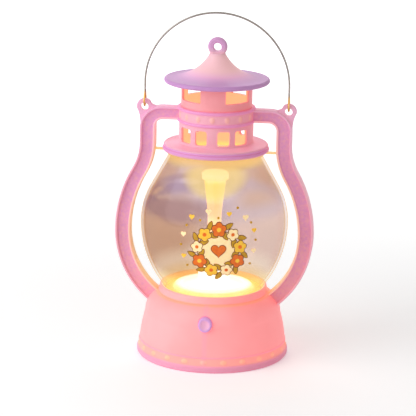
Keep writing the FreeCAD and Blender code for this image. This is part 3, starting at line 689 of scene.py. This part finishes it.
def halo(n):
    """Light along the collar, and the glow there, at the foot and round the guide's cap."""
    across = n.math("DIVIDE", n.math("SUBTRACT", n.axis("X"), 2 * MM), 13 * MM)
    up = n.math("DIVIDE", n.math("SUBTRACT", n.axis("Z"), (FLANGE_Z - 7) * MM), 8 * MM)
    round_cap = n.span(n.math("ADD", n.times(across, across), n.times(up, up)), 1.1, 0.3)
    collar = n.level(FLANGE_Z - 5.5, FLANGE_Z - 1.8)
    foot = n.level(RING_TOP + 5, RING_TOP, 0.0, 0.7)
    return collar, n.larger(foot, n.larger(collar, round_cap))


def globe_material():
    """Clear shell with a painted reflection of a blurred warm room, and painted light at its neck and foot
    and along its edges.
    """
    n = new_skin("globe_clear")
    facing = n.new("LayerWeight").outputs["Facing"]
    clear = n.named("BsdfTransparent", Color=painted_room_reflection(n))
    collar, lit = halo(n)
    rim = n.span(facing, 0.8, 0.96)
    colour = n.mix(rim, n.mix(collar, LEMON, AMBER), APRICOT)
    glow = n.named("Emission", Color=colour, Strength=1.08)
    density = n.larger(n.larger(n.times(lit, 0.4), n.times(collar, 0.46)), n.times(rim, 0.74))
    body = n.make("MixShader", density, clear, glow)
    scratches = n.noise(900, 2.0, 0.5, (1.0, 1.0, 0.2))
    shine = n.named("BsdfGlossy", Roughness=0.05, Normal=n.bump(scratches, 0.02))
    gloss = n.math("MULTIPLY_ADD", n.math("POWER", facing, 4.0), 0.2, 0.015)
    return n.finish(n.make("MixShader", gloss, body, shine))


globe_skin = globe_material()


# Metal and plain plastic

def metal(name, tint, rough, details=()):
    """Plated metal with fine scratches and small differences in shine."""
    n = new_skin(name)
    colour = clouded(n, tint, 0.92, 260, 4.0)
    for detail in details:
        colour = detail(n, colour)
    lines = n.noise(2600, 2.0, 0.5, (1.0, 1.0, 8.0))
    return n.surface(colour, lines, (rough, rough + 0.14), 0.1, 0.00005, Metallic=1.0)


def matte(name, tint, other, rough=0.5, scale=500, grain=0.15, glow=0.0):
    """Plain moulded plastic or ink with cloudy colour and fine grain."""
    n = new_skin(name)
    colour = n.mix(n.span(n.noise(scale), 0.35, 0.65), tint, other)
    return n.surface(colour, n.noise(3800, 3.0, 0.6), (rough - 0.06, rough + 0.08), grain,
                     Emission_Strength=glow)


# Arms of the side frame

ARM_WIDTH = 5.9
ARM_HALF = 2.75
ARM_FLOOR = 1.9
OUTER, INNER = 0, 1
LIP, CHANNEL, INNER_LIP, SIDE = range(4)


def lane(outer, inner, start, end, count):
    """Pairs of points on two arcs, each given by its centre and radius."""
    return list(zip(arc(*outer, start, end, count), arc(*inner, start, end, count)))


def arm_edges():
    """Pairs of points on the outer and inner edge of the right arm, from the band to the foot."""
    belly_z = SEAT_Z + 23.5
    post_x, top_width = 29.2, 4.9
    corner_x, corner_round = 20.7, 8.5
    under_x, under_round = 20.3, 3.0
    hollow_x, hollow_round = 49.2, 20.0
    high_x, high_round = -11.5, 50.0
    low_x, low_round = 2.2, 36.3
    reach = hollow_round + high_round
    lean = math.degrees(math.acos((hollow_x - high_x) / reach))
    hollow = (hollow_x, belly_z + reach * math.sin(math.radians(lean)))
    high, low = (high_x, belly_z), (low_x, belly_z)
    corner_z, under_z = ARM_TOP - corner_round, ARM_TOP - top_width - under_round
    pairs = [((x, ARM_TOP), (x, ARM_TOP - top_width)) for x in (13.7, 15.5, 17.5, 19.3)]
    pairs += lane(((corner_x, corner_z), corner_round), ((under_x, under_z), under_round), 90, 0, 16)
    for t in (0.33, 0.66):
        pairs.append(((post_x, corner_z + (hollow[1] - corner_z) * t),
                      (post_x - ARM_WIDTH, under_z + (hollow[1] - under_z) * t)))
    pairs += lane((hollow, hollow_round), (hollow, hollow_round + ARM_WIDTH), 180, 180 + lean, 12)
    pairs += lane((high, high_round), (high, high_round - ARM_WIDTH), lean, 0, 20)[1:]
    pairs += lane((low, low_round), (low, low_round - ARM_WIDTH), 0, -52.5, 30)[1:]
    return pairs


def arm_section():
    """Section points as (edge, inset, y, material of the face that follows)."""
    rim = [(0.0, -2.4), (0.1, -2.65), (0.35, -ARM_HALF), (0.55, -ARM_HALF), (0.72, -2.62), (0.8, -2.2),
           (0.95, -1.98), (1.2, -ARM_FLOOR)]
    marks = [LIP] * 5 + [CHANNEL] * 3
    front = [(OUTER, inset, y, mark) for (inset, y), mark in zip(rim, marks)]
    marks = [CHANNEL] * 2 + [INNER_LIP] * 5 + [SIDE]
    front += [(INNER, inset, y, mark) for (inset, y), mark in zip(rim[::-1], marks)]
    marks = [INNER_LIP] * 5 + [CHANNEL] * 5 + [LIP] * 6
    back = [(edge, inset, -y, mark) for (edge, inset, y, _), mark in zip(front[::-1], marks)]
    return front + back


def arm(name, way, grow=0.0, materials=()):
    """Arm on the side that way (1 or -1) gives, swept along its two edges."""
    section = arm_section()
    loops = []
    for outer, inner in arm_edges():
        o, i = Vector(outer), Vector(inner)
        across = (i - o).normalized()
        loop = []
        for edge, inset, y, _ in section:
            point = i - across * (inset - grow) if edge == INNER else o + across * (inset - grow)
            loop.append((way * point[0], y + math.copysign(grow, y), point[1]))
        loops.append(loop)
    return loft(name, loops, materials, [mark for _, _, _, mark in section])


# Base shell

def bead(angle, z, count, height, across, tall, proud, radius):
    """How far a row of soft beads stands out at a place."""
    pitch = FULL / count
    off = (angle + pitch / 2) % pitch - pitch / 2
    d = (off * radius / across) ** 2 + ((z - height) / tall) ** 2
    return proud * (1 - d) ** 2 * (1 + d) if d < 1 else 0


def base_wall(z):
    """Radius of the sloping wall, a little swollen at its middle."""
    foot, taper, swollen = 28.35, 1.95, 1.2
    t = (z - WALL_Z) / (SHOULDER_Z - WALL_Z)
    return foot - taper * t + swollen * t * (1 - t)


def base_outline():
    inner, seat_hole, under = 26.5, 12.0, SEAT_Z - 1.8
    rim = rounded([(inner, 0), (28.9, 0, 0.5), (BASE_R, 0.7, 0.9), (BASE_R, 2.2, 0.8), (29.05, 2.85, 0.3),
                   BEADS_LOW], 5)
    band = along(BEADS_LOW, BEADS_HIGH, 12)
    line = rounded([(28.5, 5.45, 0.1), (28.64, 5.7, 0.2), (28.6, 6.0, 0.2), (28.38, 6.2, 0.1)], 3)
    wall = [(base_wall(z), z) for z in heights(WALL_Z, SHOULDER_Z, 14)]
    shoulder = arc((17.3, SHOULDER_Z), 9.1, 0, 63.5, 18)
    ring = rounded([(NECK_RING_R, SEAT_Z + 0.25, 0.25), (20.95, SEAT_Z + 1.2, 1.5), (20.72, RING_TOP, 0.8),
                    (NECK_RING_BORE, RING_TOP, 0.3), (NECK_RING_BORE, SEAT_Z, 0.1), (seat_hole, SEAT_Z, 0.3),
                    (seat_hole, under, 0.3), (22.2, under, 1.0), (inner, 12.0, 1.0)], 5)
    return rim[:-1] + band + line + wall + shoulder + ring


def base_swell(angle, r, z):
    return r + bead(angle, z, 24, 4.15, 1.55, 1.05, 0.42, 28.8) if r > 28 else r


def ring_or_wall(start, end):
    """Material of a face: 1 from the foot of the neck ring up."""
    return int((start[1] + end[1]) / 2 > SEAT_Z + 0.05 and max(start[0], end[0]) < NECK_RING_R + 0.36)


def button_loop(grow, y, lean=0.0):
    """Oval loop at y, its top leaning back."""
    radius, half = BUTTON_WIDTH / 2 + grow, (BUTTON_HEIGHT - BUTTON_WIDTH) / 2
    oval = arc((0, half), radius, 0, 180, 16) + arc((0, -half), radius, 180, 360, 16)
    return [(x, y + z * math.tan(math.radians(lean)), BUTTON_Z + z) for x, z in oval]


def base_shell():
    """Rounded cone with its neck ring, with pockets for the arms and the button's hole."""
    base = lathe("base_shell_body", base_outline(), [base_skin, ring_skin], 384, base_swell, ring_or_wall)
    hole = loft("button_hole", [button_loop(BUTTON_GAP, -32), button_loop(BUTTON_GAP, -21)])
    return combine(base, [arm("pocket_right", 1, 0.1), arm("pocket_left", -1, 0.1), hole], "DIFFERENCE")


settle(base_shell(), "lantern", "base_shell")


# Push button

def push_button():
    """Oval button with a rounded rim and a dish, the tabs that keep it in, and a stub."""
    stub_end = side("push_button", Y, 1)
    back, tab_front = stub_end - 0.1, stub_end - 0.9
    rim = [(0, 0.75), (-0.06, 0.35), (-0.2, 0.12), (-0.42, 0.0)]
    dish = [(-0.75, 0.0), (-0.98, 0.06), (-1.3, 0.26), (-1.75, 0.4), (-2.3, 0.45), (-2.6, 0.46)]
    loops = [button_loop(-1.6, tab_front), button_loop(0, tab_front)]
    loops += [button_loop(grow, -BUTTON_FRONT + depth, BUTTON_LEAN) for grow, depth in rim + dish]
    body = loft("push_button_body", loops, [button_skin])
    tab = rounded(box_corners(4.3, BUTTON_Z - 2, BUTTON_Z + 2, 0.4), 3)
    tabs = prism_y("tabs", tab, tab_front - 0.02, back, [button_skin])
    stub = prism_y("stub", circle((0, BUTTON_Z), 1.3, 24), back - 0.3, stub_end, [button_skin])
    return combine(body, [tabs, stub], "UNION")


settle(push_button(), "button", "push_button")


# Globe

def globe_radius(z, inset=0.0):
    """Outer radius of the globe at a height, for a surface moved inwards by inset."""
    bend = LOW_ROUND if z < BELLY_Z else HIGH_ROUND
    return GLOBE_R - bend + math.sqrt((bend - inset) ** 2 - (z - BELLY_Z) ** 2)


def globe_bulge(low, inset):
    """Outline from the foot up to where it runs straight to the neck."""
    centre = (GLOBE_R - HIGH_ROUND, BELLY_Z)
    neck = (NECK_R - centre[0], GLOBE_COLLAR_Z - centre[1])
    touch = math.degrees(math.atan2(neck[1], neck[0]) - math.acos(HIGH_ROUND / math.hypot(*neck)))
    below = [(globe_radius(z, inset), z) for z in heights(low, BELLY_Z, 24)]
    return below + arc(centre, HIGH_ROUND - inset, 0, touch, 20)


def globe_outline():
    """Foot in the neck ring, bulge, neck and the collar under the flange."""
    outside = globe_bulge(RING_TOP, 0)
    inside = globe_bulge(RING_TOP + 0.2, GLOBE_WALL)
    foot = globe_radius(RING_TOP)
    bore = NECK_R - GLOBE_WALL
    collar = rounded([outside[-1], (NECK_R, GLOBE_COLLAR_Z, 0.5), (GLOBE_COLLAR_R, GLOBE_COLLAR_Z, 0.3),
                      (GLOBE_COLLAR_R, FLANGE_Z, 0.3), (bore, FLANGE_Z, 0.3),
                      (bore, GLOBE_COLLAR_Z - 0.7, 0.8), inside[-1]], 4)
    return [(foot - GLOBE_WALL, SEAT_Z), (foot, SEAT_Z)] + outside[:-1] + collar + inside[:-1][::-1]


def tongue(name, way):
    """Thin tongue from the globe's collar into an arm."""
    root, tip, half = 17.95, 23.86, 0.8
    low, high = FLANGE_Z - 0.7 - 0.38, FLANGE_Z - 0.7 + 0.38
    outline = rounded([(root, low), (tip, low, 0.15), (tip, high, 0.15), (root, high)], 3)
    return prism_y(name, [(way * x, z) for x, z in outline], -half, half, [globe_skin])


globe = lathe("globe_body", globe_outline(), [globe_skin], 192)
combine(globe, [tongue("tongue_right", 1), tongue("tongue_left", -1)], "UNION")
settle(globe, "lantern", "globe")


# Print on the globe's front

PRINT_MIDDLE = (4.8, 48.0)
PRINT_SINK = 0.05
GROUND, LOW, MIDDLE = (0.03, 0.06), (0.09, 0.12), (0.15, 0.18)      # heights of outline and fill
CENTRE_HEIGHT = 0.21
INK_LINE = 0.28


def dense(outline, step=1.0):
    """The outline with extra points, so that none of its edges is longer than step."""
    points = []
    for k, here in enumerate(outline):
        there = outline[(k + 1) % len(outline)]
        points += along(here, there, max(1, math.ceil(math.dist(here, there) / step)))
    return points


def middle_of(outline):
    return (sum(u for u, _ in outline) / len(outline), sum(v for _, v in outline) / len(outline))


def on_globe(u, v, height):
    """Place on the globe for a distance across and up from the print's middle."""
    z = PRINT_MIDDLE[1] + v
    radius = globe_radius(z)
    turn = (PRINT_MIDDLE[0] + u) / radius
    return ((radius + height) * math.sin(turn), -(radius + height) * math.cos(turn), z)


def patch(outline, height, rings=5):
    """Vertices and faces of a thin closed patch on the globe.

    A higher one also reaches deeper, for the view from inside.
    """
    outline = dense(outline)
    count = len(outline)
    a, b = middle_of(outline)
    levels = (height, -PRINT_SINK - height)
    verts = [on_globe(a, b, level) for level in levels]
    for share in [(ring + 1) / rings for ring in range(rings)]:
        for level in levels:
            verts += [on_globe(a + (u - a) * share, b + (v - b) * share, level) for u, v in outline]
    faces = []
    for k in range(count):
        j = (k + 1) % count
        faces += [[0, 2 + k, 2 + j], [1, 2 + count + j, 2 + count + k]]
        for ring in range(rings - 1):
            for level in (0, count):
                near = 2 + 2 * count * ring + level
                far = near + 2 * count
                faces.append([near + k, far + k, far + j, near + j])
        top = 2 + 2 * count * (rings - 1)
        faces.append([top + k, top + count + k, top + count + j, top + j])
    return verts, faces


def grown(outline, by):
    """The outline moved outwards from its middle."""
    middle = Vector(middle_of(outline))
    return [tuple(Vector(p) + (Vector(p) - middle).normalized() * by) for p in outline]


def moved(outline, u, v, degrees=0.0):
    turn = Matrix.Rotation(math.radians(degrees), 2)
    return [tuple(turn @ Vector(p) + Vector((u, v))) for p in outline]


def blossom(radius):
    """Five round petals."""
    petals = [(a, radius * (0.74 + 0.26 * abs(math.cos(2.5 * a)))) for a in angles(40)]
    return [(r * math.cos(a), r * math.sin(a)) for a, r in petals]


def leaf(length, width):
    """Pointed oval."""
    return [(length / 2 * math.cos(a), width / 2 * math.sin(a) * abs(math.sin(a)) ** 0.5) for a in angles(28)]


def heart(size):
    """Heart, 32 units across."""
    unit = size * 0.03
    return [(unit * 16 * math.sin(a) ** 3,
             unit * (13 * math.cos(a) - 5 * math.cos(2 * a) - 2 * math.cos(3 * a) - math.cos(4 * a)))
            for a in angles(32)]


WREATH_R = 8.3
GROUND_R = 7.8
FLOWER_COUNT = 9
# Petals, centre and radius of the flowers in turn.
FLOWERS = (("orange", "yellow", 2.75), ("cream", "orange", 2.25), ("yellow", "orange", 2.5))
LEAVES = ((1.75, 52), (-1.75, -38))         # distance from the wreath's ring, and tilt
SMALL_HEARTS = (("yellow", -10.5, 12.6, 2.2), ("cream", -4.2, 14.8, 2.4), ("yellow", 3.6, 14.0, 2.0),
                ("cream", 10.2, 12.4, 2.4), ("yellow", 14.0, 7.4, 2.0), ("cream", -13.6, 6.0, 2.2),
                ("yellow", -13.4, -2.6, 2.0), ("cream", 14.0, -0.6, 2.0))
DOTS = ((-7.2, 11.6), (-0.4, 12.6), (6.8, 16.0), (12.6, 10.4), (-12.4, 9.4), (-14.6, 1.8), (14.8, 3.6),
        (-12.0, -6.4), (12.4, -5.8))


def on_ring(degrees, radius):
    """Place on a ring about the print's middle, in degrees from straight up."""
    turn = math.radians(90 - degrees)
    return (radius * math.cos(turn), radius * math.sin(turn))


def ink_shapes():
    """Wreath round a heart, with small hearts and dots about it, as (ink, outline, height)."""
    shapes = []

    def inked(ink, outline, level=MIDDLE):
        shapes.append(("brown", grown(outline, INK_LINE), level[0]))
        shapes.append((ink, outline, level[1]))

    inked("cream", circle((0, 0), GROUND_R, 60), GROUND)
    pitch = 360 / FLOWER_COUNT
    for k in range(FLOWER_COUNT):
        between = (k + 0.5) * pitch
        for out, tilt in LEAVES:
            inked("gold", moved(leaf(3.9, 1.6), *on_ring(between, WREATH_R + out), tilt - between), LOW)
        petals, centre, radius = FLOWERS[k % len(FLOWERS)]
        place = on_ring(k * pitch, WREATH_R)
        inked(petals, moved(blossom(radius), *place, 18 - k * pitch))
        shapes.append((centre, circle(place, radius * 0.3, 16), CENTRE_HEIGHT))
    inked("orange", moved(heart(5.6), 0.0, 0.3))
    shapes += [(ink, moved(heart(size), u, v), MIDDLE[1]) for ink, u, v, size in SMALL_HEARTS]
    shapes += [("gold", circle(place, 0.45, 16), MIDDLE[1]) for place in DOTS]
    return shapes


# Each ink with its two tints, grain, glow and slot.
INKS = (("brown", (138, 84, 22), (122, 72, 20), 0.15, 0.0, "black_plastic"),
        ("orange", (232, 112, 18), (222, 98, 12), 0.1, 0.25, "salmon_plastic"),
        ("yellow", (250, 196, 60), (246, 186, 48), 0.1, 0.3, "white_plastic"),
        ("cream", (255, 226, 172), (252, 218, 160), 0.1, 0.35, "white_plastic"),
        ("gold", (206, 152, 16), (190, 140, 14), 0.1, 0.2, "white_plastic"))


def print_inks():
    """One piece for each ink."""
    shapes = ink_shapes()
    for ink, tint, other, grain, glow, slot in INKS:
        verts, faces = [], []
        for outline, height in [shape[1:] for shape in shapes if shape[0] == ink]:
            new_verts, new_faces = patch(outline, height)
            faces += [[index + len(verts) for index in face] for face in new_faces]
            verts += new_verts
        piece = put("print_" + ink, verts, faces, [matte("ink_" + ink, tint, other, 0.4, 900, grain, glow)])
        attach(piece, "lantern")


print_inks()


# Light guide and diffuser

def smooth_through(points, steps=4):
    """Points on a smooth curve through the given ones."""
    smooth = []
    for k in range(len(points) - 1):
        p0, p1 = Vector(points[max(k - 1, 0)]), Vector(points[k])
        p2, p3 = Vector(points[k + 1]), Vector(points[min(k + 2, len(points) - 1)])
        for s in range(steps):
            t = s / steps
            smooth.append(tuple(0.5 * (2 * p1 + (p2 - p0) * t + (2 * p0 - 5 * p1 + 4 * p2 - p3) * t * t
                                       + (3 * p1 - p0 - 3 * p2 + p3) * t ** 3)))
    return smooth


def guide_outline():
    """Hourglass column on a thick foot, with a rounded cap."""
    neck = 4.1
    waist = [(6.0, 0.0), (6.0, 5.0), (5.75, 7.6), (5.0, 11.4), (4.0, 15.6), (3.15, 20.2), (2.68, 24.2),
             (2.65, 26.0), (2.85, 29.6), (3.3, 34.0), (3.85, 38.4), (neck, 40.2), (neck, GUIDE_CAP_Z)]
    column = smooth_through([(r, PLATE_TOP + z) for r, z in waist])
    low, high = PLATE_TOP + GUIDE_CAP_Z, PLATE_TOP + GUIDE_TOP
    cap = rounded([(neck, low, 0.2), (GUIDE_CAP_R, low, 0.3), (GUIDE_CAP_R, high, 1.3), (0, high)], 5)
    bottom = side("light_guide", Z, 0)
    return [(0, bottom), (GUIDE_CAP_R, bottom), (GUIDE_CAP_R, PLATE_TOP)] + column + cap


def plate_outline():
    """Disc with a step at its edge and a fine groove."""
    edge, step_z, groove_z = 18.4, SEAT_Z + 1.4, PLATE_TOP - 0.25
    return rounded([(PLATE_BORE, SEAT_Z), (edge, SEAT_Z, 0.2), (edge, step_z, 0.4), (15.4, step_z, 0.2),
                    (15.0, PLATE_TOP, 0.5), (12.6, PLATE_TOP, 0.1), (12.4, groove_z, 0.1),
                    (12.1, groove_z, 0.1), (11.9, PLATE_TOP, 0.1), (PLATE_BORE, PLATE_TOP, 0.2)], 4)


guide = lathe("light_guide_body", guide_outline(), [guide_material()], 96)
settle(guide, "lantern", "light_guide")
diffuser = lathe("diffuser_plate_body", plate_outline(), [plate_material()], 160)
settle(diffuser, "lantern", "diffuser_plate")


# Vents

WINDOW_REACH = 16.0
WINDOW_DEPTH = 6.0


def cut_windows(body, windows, low, high, corner):
    """Windows (angle, width) to both sides, at the front and at the back."""
    cutters = []
    for angle, width in windows:
        outline = rounded(box_corners(width / 2, low, high, corner), 5)
        for degrees in (angle, -angle, 180 - angle, 180 + angle):
            cutter = prism_y("window", outline, -WINDOW_REACH, WINDOW_DEPTH - WINDOW_REACH)
            cutter.data.transform(Matrix.Rotation(math.radians(degrees), 4, "Z"))
            cutters.append(cutter)
    return combine(body, cutters, "DIFFERENCE")


def lower_vent():
    """Collar with eight small windows on a disc flange with a two-ridge rim."""
    z = FLANGE_Z
    bore, foot_r, foot_z, rim_z = 12.8, 16.5, z - 1.2, z - 0.28
    outline = rounded([(bore, foot_z), (foot_r, foot_z, 0.2), (foot_r, z, 0.1), (19.1, z, 0.1),
                       (19.3, rim_z, 0.15), (20.0, rim_z, 0.4), (FLANGE_R, z + 0.45, 0.45),
                       (19.95, z + 1.3, 0.25), (20.15, z + 1.85, 0.4), (19.65, z + 2.45, 0.35),
                       (17.6, z + 2.65, 2.0), (LOW_COLLAR_R, z + 3.1, 0.6), (LOW_COLLAR_R, BAND_Z),
                       (bore, BAND_Z)], 6)
    body = lathe("lower_vent_body", outline, [lower_vent_skin], 256)
    return cut_windows(body, ((17.9, 4.8), (49.0, 6.2)), z + 3.8, z + 9.5, 1.0)


def upper_vent():
    """Collar with four large windows between its posts, standing inside the band."""
    bore, top = 12.1, ROOF_Z + 0.9
    outline = [(bore, BAND_Z), (COLLAR_R - 0.1, BAND_Z), (COLLAR_R - 0.1, BAND_TOP),
               (COLLAR_R, BAND_TOP + 0.1), (COLLAR_R, top), (bore, top)]
    body = lathe("upper_vent_body", outline, [upper_vent_skin], 256)
    return cut_windows(body, ((44.5, 11.0),), BAND_TOP + 2.9, ROOF_Z - 0.35, 0.3)


settle(lower_vent(), "lantern", "lower_vent")
settle(upper_vent(), "lantern", "upper_vent")


# Side frame

def band_swell(angle, r, z):
    return r + bead(angle, z, 16, BAND_Z + 3.0, 1.25, 1.5, 0.4, BAND_R) if r > BAND_R - 0.1 else r


def ear(name, way):
    """Thin plate with a round end and a hole at an arm's top corner."""
    corner = [(-2.65, 1.65), (-3.35, 1.25), (-4.15, 1.02), (-5.45, 0.7), (-3.15, -2.7), (1.45, -7.5),
              (1.67, -4.9), (1.97, -2.8), (2.45, -1.3)]
    outline = arc((EAR_X, EAR_Z), EAR_R, -10, 130, 20) + [(EAR_X + x, EAR_Z - 0.5 + z) for x, z in corner]
    body = prism_y(name, [(way * x, z) for x, z in outline], -EAR_HALF, EAR_HALF, [lip_skin])
    bevel = body.modifiers.new("round", "BEVEL")
    bevel.width = 0.35 * MM
    bevel.segments = 3
    bevel.limit_method = "ANGLE"
    bevel.angle_limit = math.radians(60)
    return combine(body, [prism_y("ear_hole", circle((way * EAR_X, EAR_Z), EAR_HOLE_R, 32), -3, 3)],
                   "DIFFERENCE")


def side_frame():
    """Band with two ring beads and a row of soft beads, two arms with channels, and two ears."""
    low_bead, high_bead = [arc((BAND_R, z), 0.62, -85, 85, 8) for z in (BAND_Z + 0.65, BAND_TOP - 0.65)]
    middle = along((BAND_R, BAND_Z + 1.5), (BAND_R, BAND_TOP - 1.5), 14)
    outline = [(COLLAR_R, BAND_Z)] + low_bead + middle + high_bead + [(COLLAR_R, BAND_TOP)]
    band = lathe("side_frame_body", outline, [band_skin], 256, band_swell)
    skins = [lip_skin, channel_skin, inner_lip_skin, inner_skin]
    combine(band, [arm("arm_right", 1, 0, skins), arm("arm_left", -1, 0, skins), ear("ear_right", 1),
                   ear("ear_left", -1)], "UNION")
    low, high = BAND_Z - 2, BAND_TOP + 2
    bore = lathe("bore", [(0, low), (COLLAR_R, low), (COLLAR_R, high), (0, high)], [band_skin], 256)
    return combine(band, [bore], "DIFFERENCE")


settle(side_frame(), "lantern", "side_frame")


# Roof cap

def hanging_ring():
    inner, outer, half = 1.5, 3.7, 1.2
    section = rounded([(inner, -half, 0.45), (outer, -half, 0.9), (outer, half, 0.9), (inner, half, 0.45)], 4)
    ring = lathe("ring", section, [roof_skin], 64)
    ring.data.transform(Matrix.Translation((0, 0, HANG_Z * MM)) @ Matrix.Rotation(math.pi / 2, 4, "X"))
    return ring


def roof():
    """Concave cone on a rounded brim, with the hanging ring on its tip."""
    brim, tip, bend = (19.3, ROOF_Z + 1.85), (2.9, TIP_Z), 17.6
    chord = math.dist(brim, tip)
    lift = math.sqrt(bend ** 2 - (chord / 2) ** 2)
    across = ((brim[0] - tip[0]) / chord, (brim[1] - tip[1]) / chord)
    centre = ((brim[0] + tip[0]) / 2 - across[1] * lift, (brim[1] + tip[1]) / 2 + across[0] * lift)
    start, end = [math.degrees(math.atan2(z - centre[1], r - centre[0])) % 360 for r, z in (brim, tip)]
    slope = arc(centre, bend, start, end, 30)
    edge = arc((19.25, ROOF_Z + 0.9), 0.95, -90, 84, 12)
    under = [(r, ROOF_Z + z) for r, z in ((0, 5.0), (6.5, 5.0), (6.5, 2.2), (11.6, 2.2), (11.6, 0.9),
                                          (13.7, 0.9), (13.7, 0.0), (17.5, 0.0))]
    body = lathe("roof_cap_body", under + edge + slope + [(0, TIP_Z)], [roof_skin], 192)
    return combine(body, [hanging_ring()], "UNION")


settle(roof(), "lantern", "roof_cap")


# Bail

def bail():
    """Bent wire: an eye through each ear, two legs and a round arch."""
    apex, gap = 5.5, 0.225      # where the eye's straight ends would meet, and the gap between tail and leg
    turn = math.asin(EYE_R / apex)
    tail_rise = apex - (WIRE_R + gap) / math.tan(turn)
    tail = ((apex - tail_rise) * math.tan(turn), tail_rise)
    turn = math.degrees(turn)
    eye = [tail] + arc((0, 0), EYE_R, turn, -180 - turn, 40) + [(-0.22, 4.95), (-0.06, 5.35), (0, 5.8)]
    left, right = [[(x, y, BAIL_Z + z) for y, z in eye] for x in (-EAR_X, EAR_X)]
    arch = [(x, 0, z) for x, z in arc((0, BAIL_Z + 7.05), EAR_X, 180, 0, 72)]
    # The gold near the eyes is a painted reflection of warm light in the ear holes.
    nickel = metal("nickel_wire", (150, 143, 136), 0.14, [towards(BAIL_Z + 4.5, BAIL_Z + 2.0, GOLD_REFLECTION, 0.8)])
    return tube("bail_wire_body", left + arch + right[::-1], WIRE_R, 12, [nickel])


settle(bail(), "bail", "bail_wire")


# Materials of the CAD nodes that stay

def dress(material, *nodes):
    for obj in [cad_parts[node] for node in nodes]:
        if not obj.material_slots:
            obj.data.materials.append(None)
        for slot in obj.material_slots:
            slot.link = "OBJECT"
            slot.material = material


dress(matte("cover_pink", (246, 170, 190), (242, 162, 184), 0.5, 120), "bottom_cover", "battery_door")
dress(metal("screw_steel", (196, 196, 200), 0.28), "door_screw", "cover_screws", "board_screws")
dress(metal("contact_nickel", (206, 204, 196), 0.22), "button_cells", "contact_plate", "contact_spring")
dress(matte("black_plastic", (30, 30, 32), (40, 40, 42)), "battery_holder", "resistor", "switch_body")
dress(matte("white_plastic", (246, 244, 238), (240, 238, 230), 0.45), "switch_plunger")
dress(matte("board_green", (30, 96, 56), (24, 84, 50), 0.35), "circuit_board")
dress(matte("lamp_lens", (255, 246, 206), (255, 250, 220), 0.2, 200, 0.05, 0.9), "led")
dress(matte("red_insulation", (200, 36, 30), (186, 30, 28), 0.45), "lead_red")
dress(matte("black_insulation", (26, 26, 28), (34, 34, 36), 0.45), "lead_black")


# Floor, world and lamps

FLOOR_HALF = 4000
WORLD_LEVEL = 0.36
LAMP_AIM = Vector((0, 0, 0.06))


def seen_directly(n):
    """1 for rays from the camera, from gloss and through glass."""
    path = n.new("LightPath").outputs
    return n.larger(path["Is Camera Ray"], n.larger(path["Is Glossy Ray"], path["Is Transmission Ray"]))


def floor_material():
    """White floor that glows a little where it is seen, more so further out."""
    n = new_skin("floor_white")
    tone = n.mix(n.span(n.noise(3, 2.0), 0.3, 0.7), (252, 252, 252), (255, 255, 255))
    diffuse = n.named("BsdfPrincipled", Base_Color=tone, Roughness=0.8)
    level = n.span(n.distance(n.at()), 0.08, 0.6, 0.3, 0.75)
    glow = n.named("Emission", Strength=n.times(seen_directly(n), level))
    return n.finish(n.make("AddShader", diffuse, glow))


def stage():
    corners = [(x * FLOOR_HALF, y * FLOOR_HALF, 0) for x, y in ((-1, -1), (1, -1), (1, 1), (-1, 1))]
    put("floor", corners, [(0, 1, 2, 3)], [floor_material()])
    world = bpy.data.worlds.new("studio")
    bpy.context.scene.world = world
    n = Nodes(world, "OutputWorld")
    level = n.span(seen_directly(n), 0.0, 1.0, WORLD_LEVEL, 1.0, smooth=False)
    n.finish(n.named("Background", Color=(1, 1, 1, 1), Strength=level))


def lamp(name, place, size, power):
    """Round lamp that shines on the lantern, in metres and watts."""
    data = bpy.data.lights.new(name, "AREA")
    data.shape = "DISK"
    data.size = size
    data.energy = power
    obj = added(name, data)
    obj.location = place
    obj.rotation_euler = (LAMP_AIM - Vector(place)).to_track_quat("-Z", "Y").to_euler()


stage()
lamp("key", (-0.6, -0.4, 0.4), 0.8, 3.6)
lamp("fill", (0.45, -0.5, 0.35), 0.5, 0.16)
lamp("back", (-0.1, 0.6, 0.5), 0.5, 0.8)
